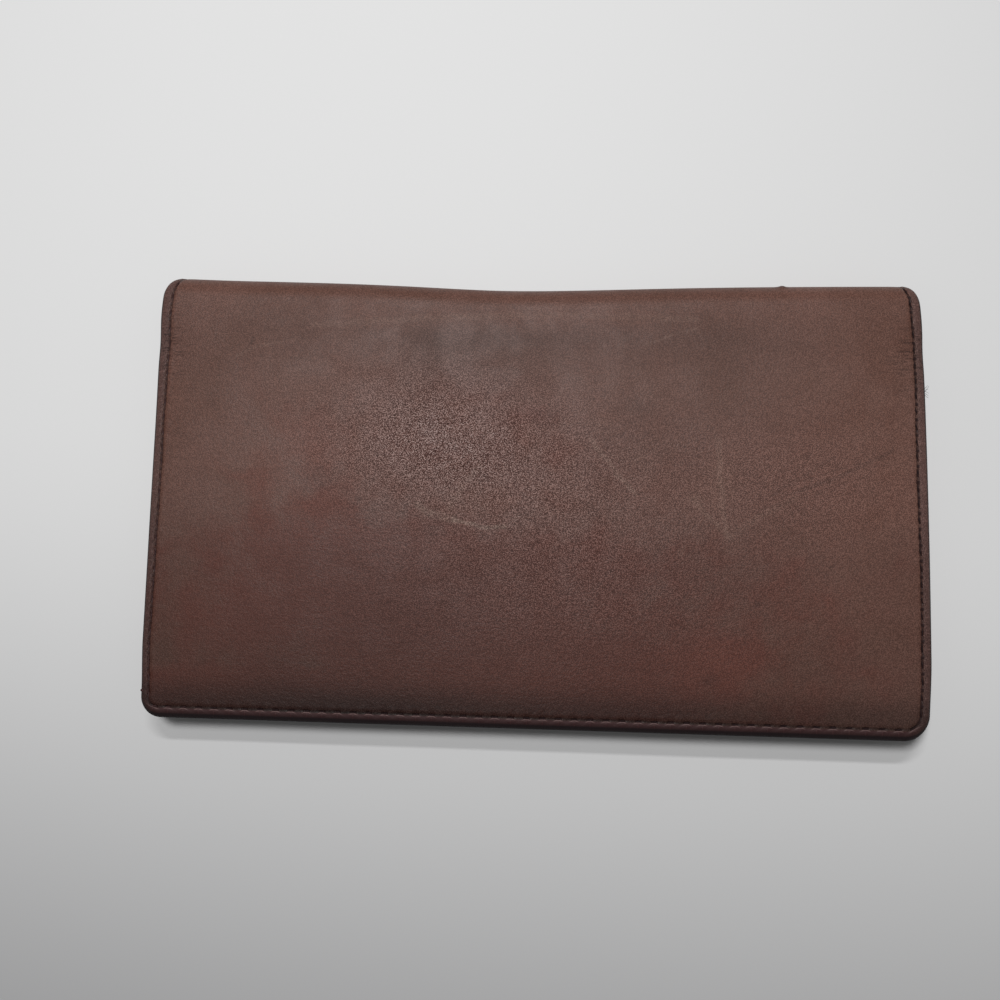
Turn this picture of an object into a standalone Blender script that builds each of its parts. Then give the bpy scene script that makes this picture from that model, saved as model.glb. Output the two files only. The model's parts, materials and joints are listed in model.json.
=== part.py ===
"""A long bifold wallet in brown leather, lying closed on its back cover.

The fold runs along the +Y side and the free edges lie along the -Y side. Z is up from the surface that
the wallet lies on. One sheet of cover leather runs from the back cover round the fold to the front cover.
It is modelled as two flat covers and three rolled bands, so that the fold can bend between them.
"""

import math

import bmesh
import bpy
from mathutils import Matrix, Vector

# Closed wallet, seen from above
WALLET_WIDTH = 0.185
WALLET_DEPTH = 0.1075
FREE_CORNER_RADIUS = 0.0045
FOLD_CORNER_RADIUS = 0.0035

# Thickness of each layer
COVER_THICKNESS = 0.0013
LINING_THICKNESS = 0.0005
NOTE_POCKET_THICKNESS = 0.0007
CARD_SLOT_THICKNESS = 0.0005

# Clearances between neighbouring pieces
LAYER_GAP = 0.0003
BAND_GAP = 0.0003
CLOSED_GAP = 0.0005
COLUMN_GAP = 0.0010

# The turned edge of the cover leather, and how far inside it the inner pieces end
TURNED_EDGE_ROUNDING = 0.0005
LINING_INSET = 0.0014
POCKET_INSET = 0.0010

# Pockets: distances down from the fold, where their mouths open, and up from the free edge
NOTE_MOUTH_FROM_FOLD = 0.016
FIRST_CARD_MOUTH_FROM_NOTE_MOUTH = 0.008
CARD_MOUTH_STEP = 0.012
LOWEST_TAIL_FROM_FREE_EDGE = 0.009
MOUTH_CORNER_RADIUS = 0.0012
BACK_CARD_ROWS = 4
FRONT_CARD_ROWS = 2

# Where a slot dips past the end of a deeper one: the clearance before the dip, and the dip's length
DIP_CLEARANCE = 0.0004
DIP_LENGTH = 0.0024

# Fineness of the curved shapes
CORNER_STEPS = 8
BAND_STEPS = 8
EDGE_ROUNDING_STEPS = 2
DIP_STEPS = 4
SHARP_ANGLE = math.radians(40)

# How far a cutter reaches past what it cuts
CUTTER_REACH = 0.003

# What follows from the sizes above
LINING_BASE = COVER_THICKNESS + LAYER_GAP
NOTE_POCKET_BASE = LINING_BASE + LINING_THICKNESS + LAYER_GAP
CARD_SLOT_BASE = NOTE_POCKET_BASE + NOTE_POCKET_THICKNESS + LAYER_GAP
CARD_SLOT_PITCH = CARD_SLOT_THICKNESS + LAYER_GAP
BACK_HALF_HEIGHT = CARD_SLOT_BASE + BACK_CARD_ROWS * CARD_SLOT_PITCH - LAYER_GAP
FRONT_HALF_HEIGHT = CARD_SLOT_BASE + FRONT_CARD_ROWS * CARD_SLOT_PITCH - LAYER_GAP
WALLET_THICKNESS = BACK_HALF_HEIGHT + CLOSED_GAP + FRONT_HALF_HEIGHT
FOLD_RADIUS = WALLET_THICKNESS / 2
FOLD_LINE_Y = WALLET_DEPTH / 2
FREE_EDGE_Y = -WALLET_DEPTH / 2
FOLD_AXIS_Y = FOLD_LINE_Y - FOLD_RADIUS
COVER_END_Y = FOLD_AXIS_Y - BAND_GAP / 2

BAND_NAMES = ("lower", "middle", "upper")
BAND_ANGLE = math.pi / len(BAND_NAMES)

COVER_LEATHER = ("cover_leather", (0.118, 0.058, 0.042), 0.48)
POCKET_LEATHER = ("pocket_leather", (0.070, 0.032, 0.022), 0.55)
LINING_CLOTH = ("lining_cloth", (0.036, 0.022, 0.017), 0.85)


def clear_scene():
    for old_object in list(bpy.data.objects):
        bpy.data.objects.remove(old_object, do_unlink=True)


def add_collection(name):
    collection = bpy.data.collections.new(name)
    bpy.context.scene.collection.children.link(collection)
    return collection


def add_material(node_name, finish):
    """A node's own material, in one of the wallet's finishes."""
    finish_name, colour, roughness = finish
    material = bpy.data.materials.new(f"{node_name}_{finish_name}")
    material.use_nodes = True
    shader = material.node_tree.nodes["Principled BSDF"]
    shader.inputs["Base Color"].default_value = (*colour, 1.0)
    shader.inputs["Roughness"].default_value = roughness
    shader.inputs["Metallic"].default_value = 0.0
    return material


def rounded_outline(corners):
    """The outline through (x, y, radius) corners, anticlockwise, each rounded by an arc of its radius."""
    outline = []
    for index, (x, y, radius) in enumerate(corners):
        corner = Vector((x, y))
        if radius <= 0:
            outline.append(corner)
            continue
        to_last = (Vector(corners[index - 1][:2]) - corner).normalized()
        to_next = (Vector(corners[(index + 1) % len(corners)][:2]) - corner).normalized()
        half_angle = to_last.angle(to_next) / 2
        centre = corner + (to_last + to_next).normalized() * radius / math.sin(half_angle)
        spoke = corner + to_last * radius / math.tan(half_angle) - centre
        turn = math.copysign(math.pi - 2 * half_angle, to_last.to_3d().cross(to_next.to_3d()).z * -1)
        for step in range(CORNER_STEPS + 1):
            arm = Matrix.Rotation(turn * step / CORNER_STEPS, 2) @ spoke
            outline.append(centre + arm)
    return outline


def add_plate(name, outline, thickness, low_z, rounding=0.0):
    """A flat piece with this outline, from low_z upwards. Rounding takes the corner off its rim."""
    curve = bpy.data.curves.new(name, "CURVE")
    curve.dimensions = "2D"
    curve.fill_mode = "BOTH"
    curve.extrude = thickness / 2 - rounding
    curve.bevel_depth = rounding
    curve.offset = -rounding
    curve.bevel_resolution = EDGE_ROUNDING_STEPS
    spline = curve.splines.new("POLY")
    spline.points.add(len(outline) - 1)
    for point, place in zip(spline.points, outline):
        point.co = (place.x, place.y, 0.0, 1.0)
    spline.use_cyclic_u = True
    drawn = bpy.data.objects.new(name, curve)
    drawn.location.z = low_z + thickness / 2
    bpy.context.scene.collection.objects.link(drawn)
    return mesh_from_curve(drawn)


def mesh_from_curve(drawn):
    """The curve object as a mesh object in the same place, with its caps welded to its rim."""
    name = drawn.name
    bpy.context.view_layer.update()
    graph = bpy.context.evaluated_depsgraph_get()
    mesh = bpy.data.meshes.new_from_object(drawn.evaluated_get(graph))
    shape = bmesh.new()
    shape.from_mesh(mesh)
    bmesh.ops.remove_doubles(shape, verts=shape.verts, dist=1e-6)
    bmesh.ops.recalc_face_normals(shape, faces=shape.faces)
    shape.to_mesh(mesh)
    shape.free()
    mesh.shade_smooth()
    mesh.set_sharp_from_angle(angle=SHARP_ANGLE)
    place = drawn.matrix_world.copy()
    bpy.data.objects.remove(drawn, do_unlink=True)
    mesh.name = name
    plate = bpy.data.objects.new(name, mesh)
    plate.matrix_world = place
    return plate


def add_boolean(target, cutter, operation):
    modifier = target.modifiers.new(f"{operation.lower()}_{cutter.name}", "BOOLEAN")
    modifier.operation = operation
    modifier.solver = "EXACT"
    modifier.object = cutter


def as_cutter(helper, collection):
    collection.objects.link(helper)
    helper.hide_render = True
    helper.display_type = "WIRE"
    return helper


def add_fold_cutter(collection):
    """A block over the fold. It ends the flat covers squarely where the first rolled band begins."""
    low = Vector((-WALLET_WIDTH / 2, COVER_END_Y, 0.0)) - Vector((CUTTER_REACH, 0.0, CUTTER_REACH))
    high = Vector((WALLET_WIDTH / 2, FOLD_LINE_Y, WALLET_THICKNESS)) + Vector((CUTTER_REACH,) * 3)
    shape = bmesh.new()
    bmesh.ops.create_cube(shape, size=1.0)
    bmesh.ops.scale(shape, vec=high - low, verts=shape.verts)
    bmesh.ops.translate(shape, vec=(high + low) / 2, verts=shape.verts)
    mesh = bpy.data.meshes.new("fold_cutter")
    shape.to_mesh(mesh)
    shape.free()
    return as_cutter(bpy.data.objects.new("fold_cutter", mesh), collection)


def add_fold_outline(name, inset, collection):
    """A tall block with the plan outline of the fold, whose rounded corners shape the ends of the bands."""
    end_x = WALLET_WIDTH / 2 - inset
    back_y = FOLD_AXIS_Y - CUTTER_REACH
    beyond_y = FOLD_LINE_Y + CUTTER_REACH
    centre_y = FOLD_LINE_Y - FOLD_CORNER_RADIUS
    outline = [Vector((-end_x, back_y)), Vector((end_x, back_y))]
    corner = []
    for step in range(CORNER_STEPS):
        angle = math.pi / 2 * step / CORNER_STEPS
        inwards = FOLD_CORNER_RADIUS * (1 - math.cos(angle))
        corner.append(Vector((end_x - inwards, centre_y + FOLD_CORNER_RADIUS * math.sin(angle))))
    corner.append(Vector((end_x - FOLD_CORNER_RADIUS, beyond_y)))
    outline += corner
    outline += [Vector((-point.x, point.y)) for point in reversed(corner)]
    block = add_plate(name, outline, WALLET_THICKNESS + 2 * CUTTER_REACH, -CUTTER_REACH)
    return as_cutter(block, collection)


def add_rolled_band(name, index, outer_radius, thickness, fold_outline):
    """One of the bands that the leather or its lining is rolled in, round the fold's axis."""
    gap_angle = BAND_GAP / outer_radius
    start_angle = index * BAND_ANGLE + gap_angle / 2
    end_x = WALLET_WIDTH / 2 + CUTTER_REACH
    shape = bmesh.new()
    ends = [shape.verts.new((x, 0.0, -outer_radius)) for x in (-end_x, end_x)]
    shape.edges.new(ends)
    bmesh.ops.rotate(shape, matrix=Matrix.Rotation(start_angle, 3, "X"), verts=shape.verts)
    mesh = bpy.data.meshes.new(name)
    shape.to_mesh(mesh)
    shape.free()
    band = bpy.data.objects.new(name, mesh)
    band.location = (0.0, FOLD_AXIS_Y, FOLD_RADIUS)
    roll = band.modifiers.new("roll", "SCREW")
    roll.axis = "X"
    roll.angle = BAND_ANGLE - gap_angle
    roll.steps = BAND_STEPS
    roll.render_steps = BAND_STEPS
    roll.use_merge_vertices = False
    roll.use_normal_flip = True
    thicken = band.modifiers.new("thicken", "SOLIDIFY")
    thicken.thickness = thickness
    thicken.offset = -1.0
    thicken.use_even_offset = True
    add_boolean(band, fold_outline, "INTERSECT")
    return band


def add_cover(name, low_z, fold_cutter):
    """A flat cover of the leather sheet, with turned edges on its three free sides."""
    side_x = WALLET_WIDTH / 2
    corners = [
        (-side_x, FREE_EDGE_Y, FREE_CORNER_RADIUS),
        (side_x, FREE_EDGE_Y, FREE_CORNER_RADIUS),
        (side_x, FOLD_LINE_Y, 0.0),
        (-side_x, FOLD_LINE_Y, 0.0),
    ]
    cover = add_plate(name, rounded_outline(corners), COVER_THICKNESS, low_z, TURNED_EDGE_ROUNDING)
    add_boolean(cover, fold_cutter, "DIFFERENCE")
    return cover


def add_inner_panel(name, inset, mouth_y, mouth_radius, thickness, low_z):
    """A full-width inner piece that ends at mouth_y near the fold and lies inside the turned edge."""
    side_x = WALLET_WIDTH / 2 - inset
    bottom_radius = max(FREE_CORNER_RADIUS - inset, 0.0)
    corners = [
        (-side_x, FREE_EDGE_Y + inset, bottom_radius),
        (side_x, FREE_EDGE_Y + inset, bottom_radius),
        (side_x, mouth_y, mouth_radius),
        (-side_x, mouth_y, mouth_radius),
    ]
    return add_plate(name, rounded_outline(corners), thickness, low_z)


def card_mouth_y(row):
    """Where the mouth of a card slot lies. Row 0 is nearest the fold and lies deepest."""
    first_mouth = FOLD_LINE_Y - NOTE_MOUTH_FROM_FOLD - FIRST_CARD_MOUTH_FROM_NOTE_MOUTH
    return first_mouth - row * CARD_MOUTH_STEP


def card_floor_y(row, rows):
    """Where a card slot ends near the free edge. The last row reaches the free edge's seam."""
    if row == rows - 1:
        return FREE_EDGE_Y + POCKET_INSET
    rows_below = rows - 2 - row
    return FREE_EDGE_Y + LOWEST_TAIL_FROM_FREE_EDGE + rows_below * CARD_MOUTH_STEP


def dip_lines(row, rows):
    """The first and last y of each dip that a slot makes past the ends of the slots below it."""
    tops = [card_floor_y(deeper, rows) - DIP_CLEARANCE for deeper in range(row)]
    return [(top, top - DIP_LENGTH) for top in tops]


def lift_over_deeper_slots(y, row, rows):
    """How much the slots below this one raise it at y."""
    lift = 0.0
    for top, bottom in dip_lines(row, rows):
        share = min(max((y - bottom) / (top - bottom), 0.0), 1.0)
        lift += CARD_SLOT_PITCH * share * share * (3 - 2 * share)
    return lift


def drape(slot, row, rows, direction):
    """Lays a flat slot over the slots below it, with a soft dip past the end of each."""
    shape = bmesh.new()
    shape.from_mesh(slot.data)
    for top, bottom in dip_lines(row, rows):
        for step in range(DIP_STEPS + 1):
            cut_y = top + (bottom - top) * step / DIP_STEPS
            everything = shape.verts[:] + shape.edges[:] + shape.faces[:]
            bmesh.ops.bisect_plane(shape, geom=everything, plane_co=(0, cut_y, 0), plane_no=(0, 1, 0))
    for vertex in shape.verts:
        vertex.co.z += direction * lift_over_deeper_slots(vertex.co.y, row, rows)
    shape.to_mesh(slot.data)
    shape.free()


def add_card_slot(name, side, row, rows, low_z, direction):
    """One card slot on the side -1 (left) or 1 (right). Row 0 is nearest the fold and lies deepest."""
    outer_x = WALLET_WIDTH / 2 - POCKET_INSET
    inner_x = COLUMN_GAP / 2
    mouth_y = card_mouth_y(row)
    floor_y = card_floor_y(row, rows)
    floor_radius = max(FREE_CORNER_RADIUS - POCKET_INSET, 0.0) if row == rows - 1 else 0.0
    corners = [
        (inner_x, floor_y, 0.0),
        (outer_x, floor_y, floor_radius),
        (outer_x, mouth_y, MOUTH_CORNER_RADIUS),
        (inner_x, mouth_y, MOUTH_CORNER_RADIUS),
    ]
    if side < 0:
        corners = [(-x, y, radius) for x, y, radius in reversed(corners)]
    slot = add_plate(name, rounded_outline(corners), CARD_SLOT_THICKNESS, low_z)
    drape(slot, row, rows, direction)
    return slot


def add_half(half_name, rows, direction, fold_cutter):
    """All pieces of one half, stacked upwards (1) or downwards (-1) from its cover."""

    def low_z(base, thickness):
        return base if direction > 0 else WALLET_THICKNESS - base - thickness

    cover = add_cover(f"{half_name}_cover", low_z(0.0, COVER_THICKNESS), fold_cutter)
    lining = add_inner_panel(
        f"{half_name}_lining",
        LINING_INSET,
        COVER_END_Y,
        0.0,
        LINING_THICKNESS,
        low_z(LINING_BASE, LINING_THICKNESS),
    )
    note_pocket = add_inner_panel(
        f"{half_name}_note_pocket",
        POCKET_INSET,
        FOLD_LINE_Y - NOTE_MOUTH_FROM_FOLD,
        MOUTH_CORNER_RADIUS,
        NOTE_POCKET_THICKNESS,
        low_z(NOTE_POCKET_BASE, NOTE_POCKET_THICKNESS),
    )
    pieces = [(cover, COVER_LEATHER), (lining, LINING_CLOTH), (note_pocket, POCKET_LEATHER)]
    slot_z = low_z(CARD_SLOT_BASE, CARD_SLOT_THICKNESS)
    for side, side_name in ((-1, "left"), (1, "right")):
        for row in range(rows):
            slot_name = f"{half_name}_card_slot_{side_name}_{row + 1}"
            slot = add_card_slot(slot_name, side, row, rows, slot_z, direction)
            pieces.append((slot, POCKET_LEATHER))
    return pieces


def hinge_place(index):
    """A point of the bend before band number index: on the leather's outer side, between two pieces."""
    angle = index * BAND_ANGLE
    return Vector(
        (0.0, FOLD_AXIS_Y + FOLD_RADIUS * math.sin(angle), FOLD_RADIUS * (1 - math.cos(angle)))
    )


def add_hinges(collection):
    """One empty on each bend of the fold, each carried by the one before it."""
    hinges = []
    for index in range(len(BAND_NAMES) + 1):
        hinge = bpy.data.objects.new(f"fold_hinge_{index + 1}", None)
        hinge.empty_display_size = FOLD_RADIUS
        collection.objects.link(hinge)
        hinge.location = hinge_place(index)
        if hinges:
            hinge.parent = hinges[-1]
            hinge.location -= hinge_place(index - 1)
        hinges.append(hinge)
    bpy.context.view_layer.update()
    return hinges


def finish_piece(piece, finish, collection, hinge=None):
    """Links the piece, gives it its material and hangs it on its hinge, where it has one."""
    collection.objects.link(piece)
    piece.data.materials.clear()
    piece.data.materials.append(add_material(piece.name, finish))
    if hinge:
        piece.parent = hinge
        piece.matrix_parent_inverse = hinge.matrix_world.inverted()


def build_wallet():
    clear_scene()
    wallet = add_collection("long_bifold_wallet")
    cutters = add_collection("cutters")
    fold_cutter = add_fold_cutter(cutters)
    leather_outline = add_fold_outline("fold_outline_of_leather", 0.0, cutters)
    lining_outline = add_fold_outline("fold_outline_of_lining", LINING_INSET, cutters)
    hinges = add_hinges(wallet)

    for piece, finish in add_half("back", BACK_CARD_ROWS, 1, fold_cutter):
        finish_piece(piece, finish, wallet)
    for piece, finish in add_half("front", FRONT_CARD_ROWS, -1, fold_cutter):
        finish_piece(piece, finish, wallet, hinges[-1])
    for index, band_name in enumerate(BAND_NAMES):
        leather = add_rolled_band(
            f"spine_leather_{band_name}", index, FOLD_RADIUS, COVER_THICKNESS, leather_outline
        )
        finish_piece(leather, COVER_LEATHER, wallet, hinges[index])
        lining = add_rolled_band(
            f"spine_lining_{band_name}",
            index,
            FOLD_RADIUS - LINING_BASE,
            LINING_THICKNESS,
            lining_outline,
        )
        finish_piece(lining, LINING_CLOTH, wallet, hinges[index])


build_wallet()
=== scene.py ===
import json
import math
from collections import namedtuple

import bpy
import numpy as np
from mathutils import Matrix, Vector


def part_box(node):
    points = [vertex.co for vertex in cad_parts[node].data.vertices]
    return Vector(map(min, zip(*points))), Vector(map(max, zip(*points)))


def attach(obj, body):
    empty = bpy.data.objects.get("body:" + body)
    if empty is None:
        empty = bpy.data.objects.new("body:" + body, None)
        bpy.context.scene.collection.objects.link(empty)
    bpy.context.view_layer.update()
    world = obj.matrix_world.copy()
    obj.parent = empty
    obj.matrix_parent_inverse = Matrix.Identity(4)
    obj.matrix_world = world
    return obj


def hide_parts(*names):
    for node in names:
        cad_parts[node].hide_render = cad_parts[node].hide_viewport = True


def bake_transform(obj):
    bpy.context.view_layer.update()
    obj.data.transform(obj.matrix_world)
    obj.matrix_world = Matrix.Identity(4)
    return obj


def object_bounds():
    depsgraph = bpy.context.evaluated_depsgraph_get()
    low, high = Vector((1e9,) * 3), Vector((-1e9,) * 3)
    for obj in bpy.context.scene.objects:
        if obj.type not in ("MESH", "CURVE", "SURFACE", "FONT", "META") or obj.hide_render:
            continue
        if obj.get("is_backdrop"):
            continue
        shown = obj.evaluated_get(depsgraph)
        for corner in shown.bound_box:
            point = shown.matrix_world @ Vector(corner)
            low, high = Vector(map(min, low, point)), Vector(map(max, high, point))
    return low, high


bl_info = {
    "name": "Long Bifold Wallet",
    "version": (1, 0, 0),
    "blender": (4, 5, 0),
    "location": "3D View > Sidebar > Wallet",
    "description": "Builds the leather, lining, pockets and stitches of a long bifold wallet",
    "category": "Object",
}

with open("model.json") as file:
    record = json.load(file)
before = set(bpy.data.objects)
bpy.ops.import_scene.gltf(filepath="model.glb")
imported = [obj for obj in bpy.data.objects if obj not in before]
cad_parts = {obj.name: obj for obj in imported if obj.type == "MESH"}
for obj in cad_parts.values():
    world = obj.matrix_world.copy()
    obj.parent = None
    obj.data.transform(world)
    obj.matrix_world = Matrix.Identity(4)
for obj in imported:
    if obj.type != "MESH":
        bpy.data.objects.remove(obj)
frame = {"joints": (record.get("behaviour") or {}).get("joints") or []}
cad_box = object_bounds()

# Places and lengths in metres, worked out from the frame. The path runs round the outside of the cover
# leather: it starts at 0 in the middle of the fold, and is below 0 on the back half
MM = 0.001
JOINTS = {joint["name"]: joint for joint in frame["joints"]}
COVER_LOW, COVER_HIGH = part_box("front_cover")
HALF_WIDTH = COVER_HIGH.x
FREE_EDGE_Y = COVER_LOW.y
FOLD_RADIUS = COVER_HIGH.z / 2
FOLD_AXIS_Y = JOINTS["back_cover_bend"]["pos_m"][1]
FOLD_LINE_Y = FOLD_AXIS_Y + FOLD_RADIUS
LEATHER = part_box("back_cover")[1].z
HALF_ARC = math.pi / 2 * FOLD_RADIUS
ARC_STEPS = 36
PATH_END = HALF_ARC + FOLD_AXIS_Y - FREE_EDGE_Y
LINING_LOW, LINING_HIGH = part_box("back_lining")
LINING_INSET = LINING_LOW.y - FREE_EDGE_Y
LINING_RADIUS = FOLD_RADIUS - (LINING_LOW.z + LINING_HIGH.z) / 2
NOTE_LOW, NOTE_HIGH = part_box("back_note_pocket")
POCKET_INSET = NOTE_LOW.y - FREE_EDGE_Y
SLOT_LOW, SLOT_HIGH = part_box("back_card_slot_right_1")
SLOT_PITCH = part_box("back_card_slot_right_2")[1].z - SLOT_HIGH.z

# Each zone of the sheets that go round the fold: its name, the two bodies that it bends between, the
# angles round the fold where it starts and ends (0 is the middle of the fold), and the solid bands of
# the fold that it stands for
Zone = namedtuple("Zone", "name first_body second_body start_angle end_angle bands")
ZONES = (
    Zone("back", "root", "spine_lower", None, -60, ()),
    Zone("fold_lower", "spine_lower", "spine_middle", -60, 0, ("lower",)),
    Zone("fold_upper", "spine_middle", "spine_upper", 0, 60, ("middle", "upper")),
    Zone("front", "spine_upper", "front_half", 60, None, ()),
)
# The half on the table (-1) and the half on top (1)
Half = namedtuple("Half", "name body slot_rows")
HALVES = {-1: Half("back", "root", 4), 1: Half("front", "front_half", 2)}
# How much of the front cover's rise and sink reaches each layer under it
LINING_CARRY, NOTE_CARRY, SLOT_CARRY = 0.67, 0.55, 0.43
# A slot climbs onto a deeper slot between these distances from the deeper slot's floor
CLIMB_START, CLIMB_END = 2.8 * MM, 0.4 * MM
# The small flap on the fold: its x, its place along the path and its reach both ways
NICK_X, NICK_ALONG, NICK_REACH_X, NICK_REACH_ALONG = 59.8 * MM, 0.35 * HALF_ARC, 1.0 * MM, 0.9 * MM
# The stitches turn from the free edge's short ones to the side's long ones over this distance
STITCH_CHANGE = 6 * MM
# Places nearer to each other than this count as one
TOUCHING = 1e-7
# Seeds of the random draws: the stitches' slants, the loose fibres, and the thread of each kind of seam
SLANT_SEED, FIBRE_SEED = 7, 3
EDGE_SEED, INSIDE_SEED, COLUMN_SEED = 0, 10, 20

# The left (-1) and right (1) edges of the covers, in millimetres: how far each lies outside the solid's
# edge, its lean, how far it bows in and about which y, where it draws in (how far, from which y and to
# which y), and how far its rounding at the fold reaches along x and y
Edge = namedtuple("Edge", "proud lean bow bow_y drawn_in round_x round_y")
EDGES = {
    -1: Edge(0.38, 0.004, 0.0, 0.0, ((0.48, -36.0, -50.0), (-0.12, 15.0, 40.0)), 2.6, 13.0),
    1: Edge(0.65, 0.0, 0.6, -14.0, ((0.60, -36.0, -53.0),), 1.9, 15.5),
}
BOW_REACH = 55 * MM


def number_property(name, description, default):
    return bpy.props.FloatProperty(name=name, description=description, default=default)


def length_property(name, description, default):
    return bpy.props.FloatProperty(
        name=name, description=description, default=default, unit="LENGTH", precision=5
    )


def place_property(name, description, default):
    return bpy.props.FloatVectorProperty(
        name=name,
        description=description,
        default=default,
        subtype="TRANSLATION",
        unit="LENGTH",
        precision=5,
    )


def colour_property(name, description, default):
    return bpy.props.FloatVectorProperty(
        name=name, description=description, default=default, subtype="COLOR", min=0.0, max=1.0
    )


class WalletSizes(bpy.types.PropertyGroup):
    left_corner: length_property("Left corner", "Radius of the left corners at the free edge", 0.0050)
    right_corner: length_property("Right corner", "Radius of the right corners at the free edge", 0.0060)
    crown: length_property("Crown", "How far the front cover rises from its rim to its middle", 0.00125)
    crown_spread: length_property("Crown spread", "How far in from the rim the cover has mostly risen", 0.014)
    rim_sink: length_property("Rim sink", "How far the seams pull the front cover's rim down", 0.00065)
    hollow: length_property("Hollow", "Depth of the hollows beside the seams near the fold", 0.00040)
    ridge: length_property("Ridge", "Height of the soft ridge along the fold", 0.00016)
    waves: length_property("Waves", "Height of the front cover's soft waves", 0.000045)
    fold_dip: length_property("Fold dip", "How far the middle of the fold is drawn in", 0.0024)
    nick: length_property("Nick", "Height of the small flap of leather on the fold", 0.00042)
    rim_rounding: length_property("Rim rounding", "Width of the turned edge's rounding", 0.0015)
    margin_roll: length_property("Margin roll", "How far the margin slopes down to the edge", 0.0003)
    free_reach: length_property("Free reach", "How far the cover passes its solid's free edge", 0.0007)
    seam_margin: length_property("Seam margin", "Least distance of the edge seam from the sides", 0.00205)
    free_margin: length_property("Free margin", "Distance of the edge seam from the free edge", 0.00265)
    stitch_pitch: length_property("Stitch pitch", "Distance from stitch to stitch", 0.0037)
    side_stitch: length_property("Side stitch", "Length of thread seen in each side stitch", 0.0031)
    edge_stitch: length_property("Edge stitch", "Length of thread seen along the free edge", 0.0016)
    thread_width: length_property("Thread width", "Width of the twisted thread", 0.00040)
    stitch_sink: length_property("Stitch sink", "How deep a stitch's ends lie in the leather", 0.00022)
    stitch_rise: length_property("Stitch rise", "How far a stitch's middle rises above its ends", 0.00030)
    stitch_turns: number_property("Stitch turns", "How many times a stitch's two plies wind round", 1.6)
    unevenness: number_property("Unevenness", "By what share the stitches' lengths and widths vary", 0.07)
    groove: length_property("Groove", "Depth of the groove that the seam lies in", 0.00016)
    pit: length_property("Pit", "Extra depth where a stitch bites into the leather", 0.00022)
    pucker: length_property("Pucker", "Height of the puckers beside the stitches", 0.00016)
    bead: length_property("Mouth bead", "How far a pocket's turned mouth stands proud", 0.00012)
    hem: length_property("Mouth hem", "Distance of the creased line from a pocket's mouth", 0.0019)
    column_seam: length_property("Column seam", "Distance of the seam from the middle gap", 0.0015)
    step: length_property("Mesh step", "Spacing of the cover leather's mesh", 0.0006)
    inner_step: length_property("Inner mesh step", "Spacing of the inner pieces' meshes", 0.0024)
    hidden_step: length_property("Hidden mesh step", "Spacing of the mesh on the leather's inside", 0.0050)


class WalletColours(bpy.types.PropertyGroup):
    leather: colour_property("Leather", "Waxed cover leather", (0.108, 0.049, 0.036))
    leather_dark: colour_property("Dark leather", "Darker clouds in the leather", (0.092, 0.040, 0.028))
    leather_red: colour_property("Red leather", "Redder leather towards the free edge", (0.107, 0.032, 0.021))
    # Wax bloom, which also stands in as painted sheen round the lamp's highlight and along the fold
    bloom_and_sheen: colour_property("Bloom", "Greyish bloom of the wax", (0.119, 0.062, 0.048))
    # Painted highlight: the pale glints on the grain
    spark: colour_property("Spark", "Pale glints of the grain", (0.340, 0.300, 0.280))
    scuff_and_highlight: colour_property("Scuff", "Light scratches and rubbed places", (0.185, 0.112, 0.086))
    margin: colour_property("Margin", "Leather outside the side seams", (0.072, 0.042, 0.040))
    # Painted shade of the rolled strip along the free edge
    shaded_free_strip: colour_property("Free strip", "Leather outside the free edge's seam", (0.030, 0.011, 0.0115))
    edge: colour_property("Edge", "Painted edge of the leather", (0.008, 0.004, 0.005))
    pocket: colour_property("Pocket", "Leather of the pockets", (0.070, 0.032, 0.022))
    lining: colour_property("Lining", "Twill lining cloth", (0.040, 0.025, 0.019))
    thread: colour_property("Thread", "Sewing thread", (0.012, 0.0035, 0.004))
    # Lighter thread along the left side
    lighter_left_thread: colour_property("Faded thread", "Worn thread of the left side", (0.042, 0.019, 0.019))
    floor: colour_property("Floor", "Table top", (0.725, 0.725, 0.725))
    floor_shade: colour_property("Floor shade", "Table top towards the viewer", (0.35, 0.35, 0.355))


class WalletStudio(bpy.types.PropertyGroup):
    lens: number_property("Lens", "Focal length on a 36 mm sensor, in millimetres", 33.48)
    camera_place: place_property("Camera place", "Where the camera stands", (0.003767, -0.023344, 0.231566))
    camera_turn: bpy.props.FloatVectorProperty(
        name="Camera turn",
        description="The camera's turn as an axis times its angle in degrees",
        default=(5.8318, 2.8339, 1.3019),
    )
    key_place: place_property("Key place", "Where the main lamp hangs", (-0.102, 0.156, 0.65))
    key_power: number_property("Key power", "Power of the main lamp, in watts", 2.58)
    key_size: length_property("Key size", "Side of the main lamp", 0.13)
    far_place: place_property("Far place", "Where the strip lamp beyond the fold hangs", (-0.01, 0.343, 0.60))
    far_power: number_property("Far power", "Power of the strip lamp beyond the fold, in watts", 1.42)
    far_width: length_property("Far width", "Width of the strip lamp beyond the fold", 0.22)
    far_size: length_property("Far size", "Height of the strip lamp beyond the fold", 0.035)
    sky_strength: number_property("Sky strength", "Strength of the even light from all round", 0.138)


# Shapes


def smooth(value, low, high):
    """0 at low, 1 at high, with a soft start and end."""
    share = np.clip((value - low) / (high - low), 0.0, 1.0)
    return share * share * (3 - 2 * share)


def bell(value, centre, width):
    """1 at the centre, falling off softly over the width on both sides."""
    return np.exp(-(((value - centre) / width) ** 2))


def steps_at(value, steps):
    """The sum of soft steps: how much each adds, and where it starts and ends in millimetres."""
    return sum(amount * smooth(value, start * MM, end * MM) for amount, start, end in steps)


def marks_at(x, y, marks):
    """The sum of soft marks: how strong each is, and its x, y and reach both ways in millimetres."""
    return sum(
        strength * bell(x, mark_x * MM, reach_x * MM) * bell(y, mark_y * MM, reach_y * MM)
        for strength, mark_x, mark_y, reach_x, reach_y in marks
    )


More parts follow.
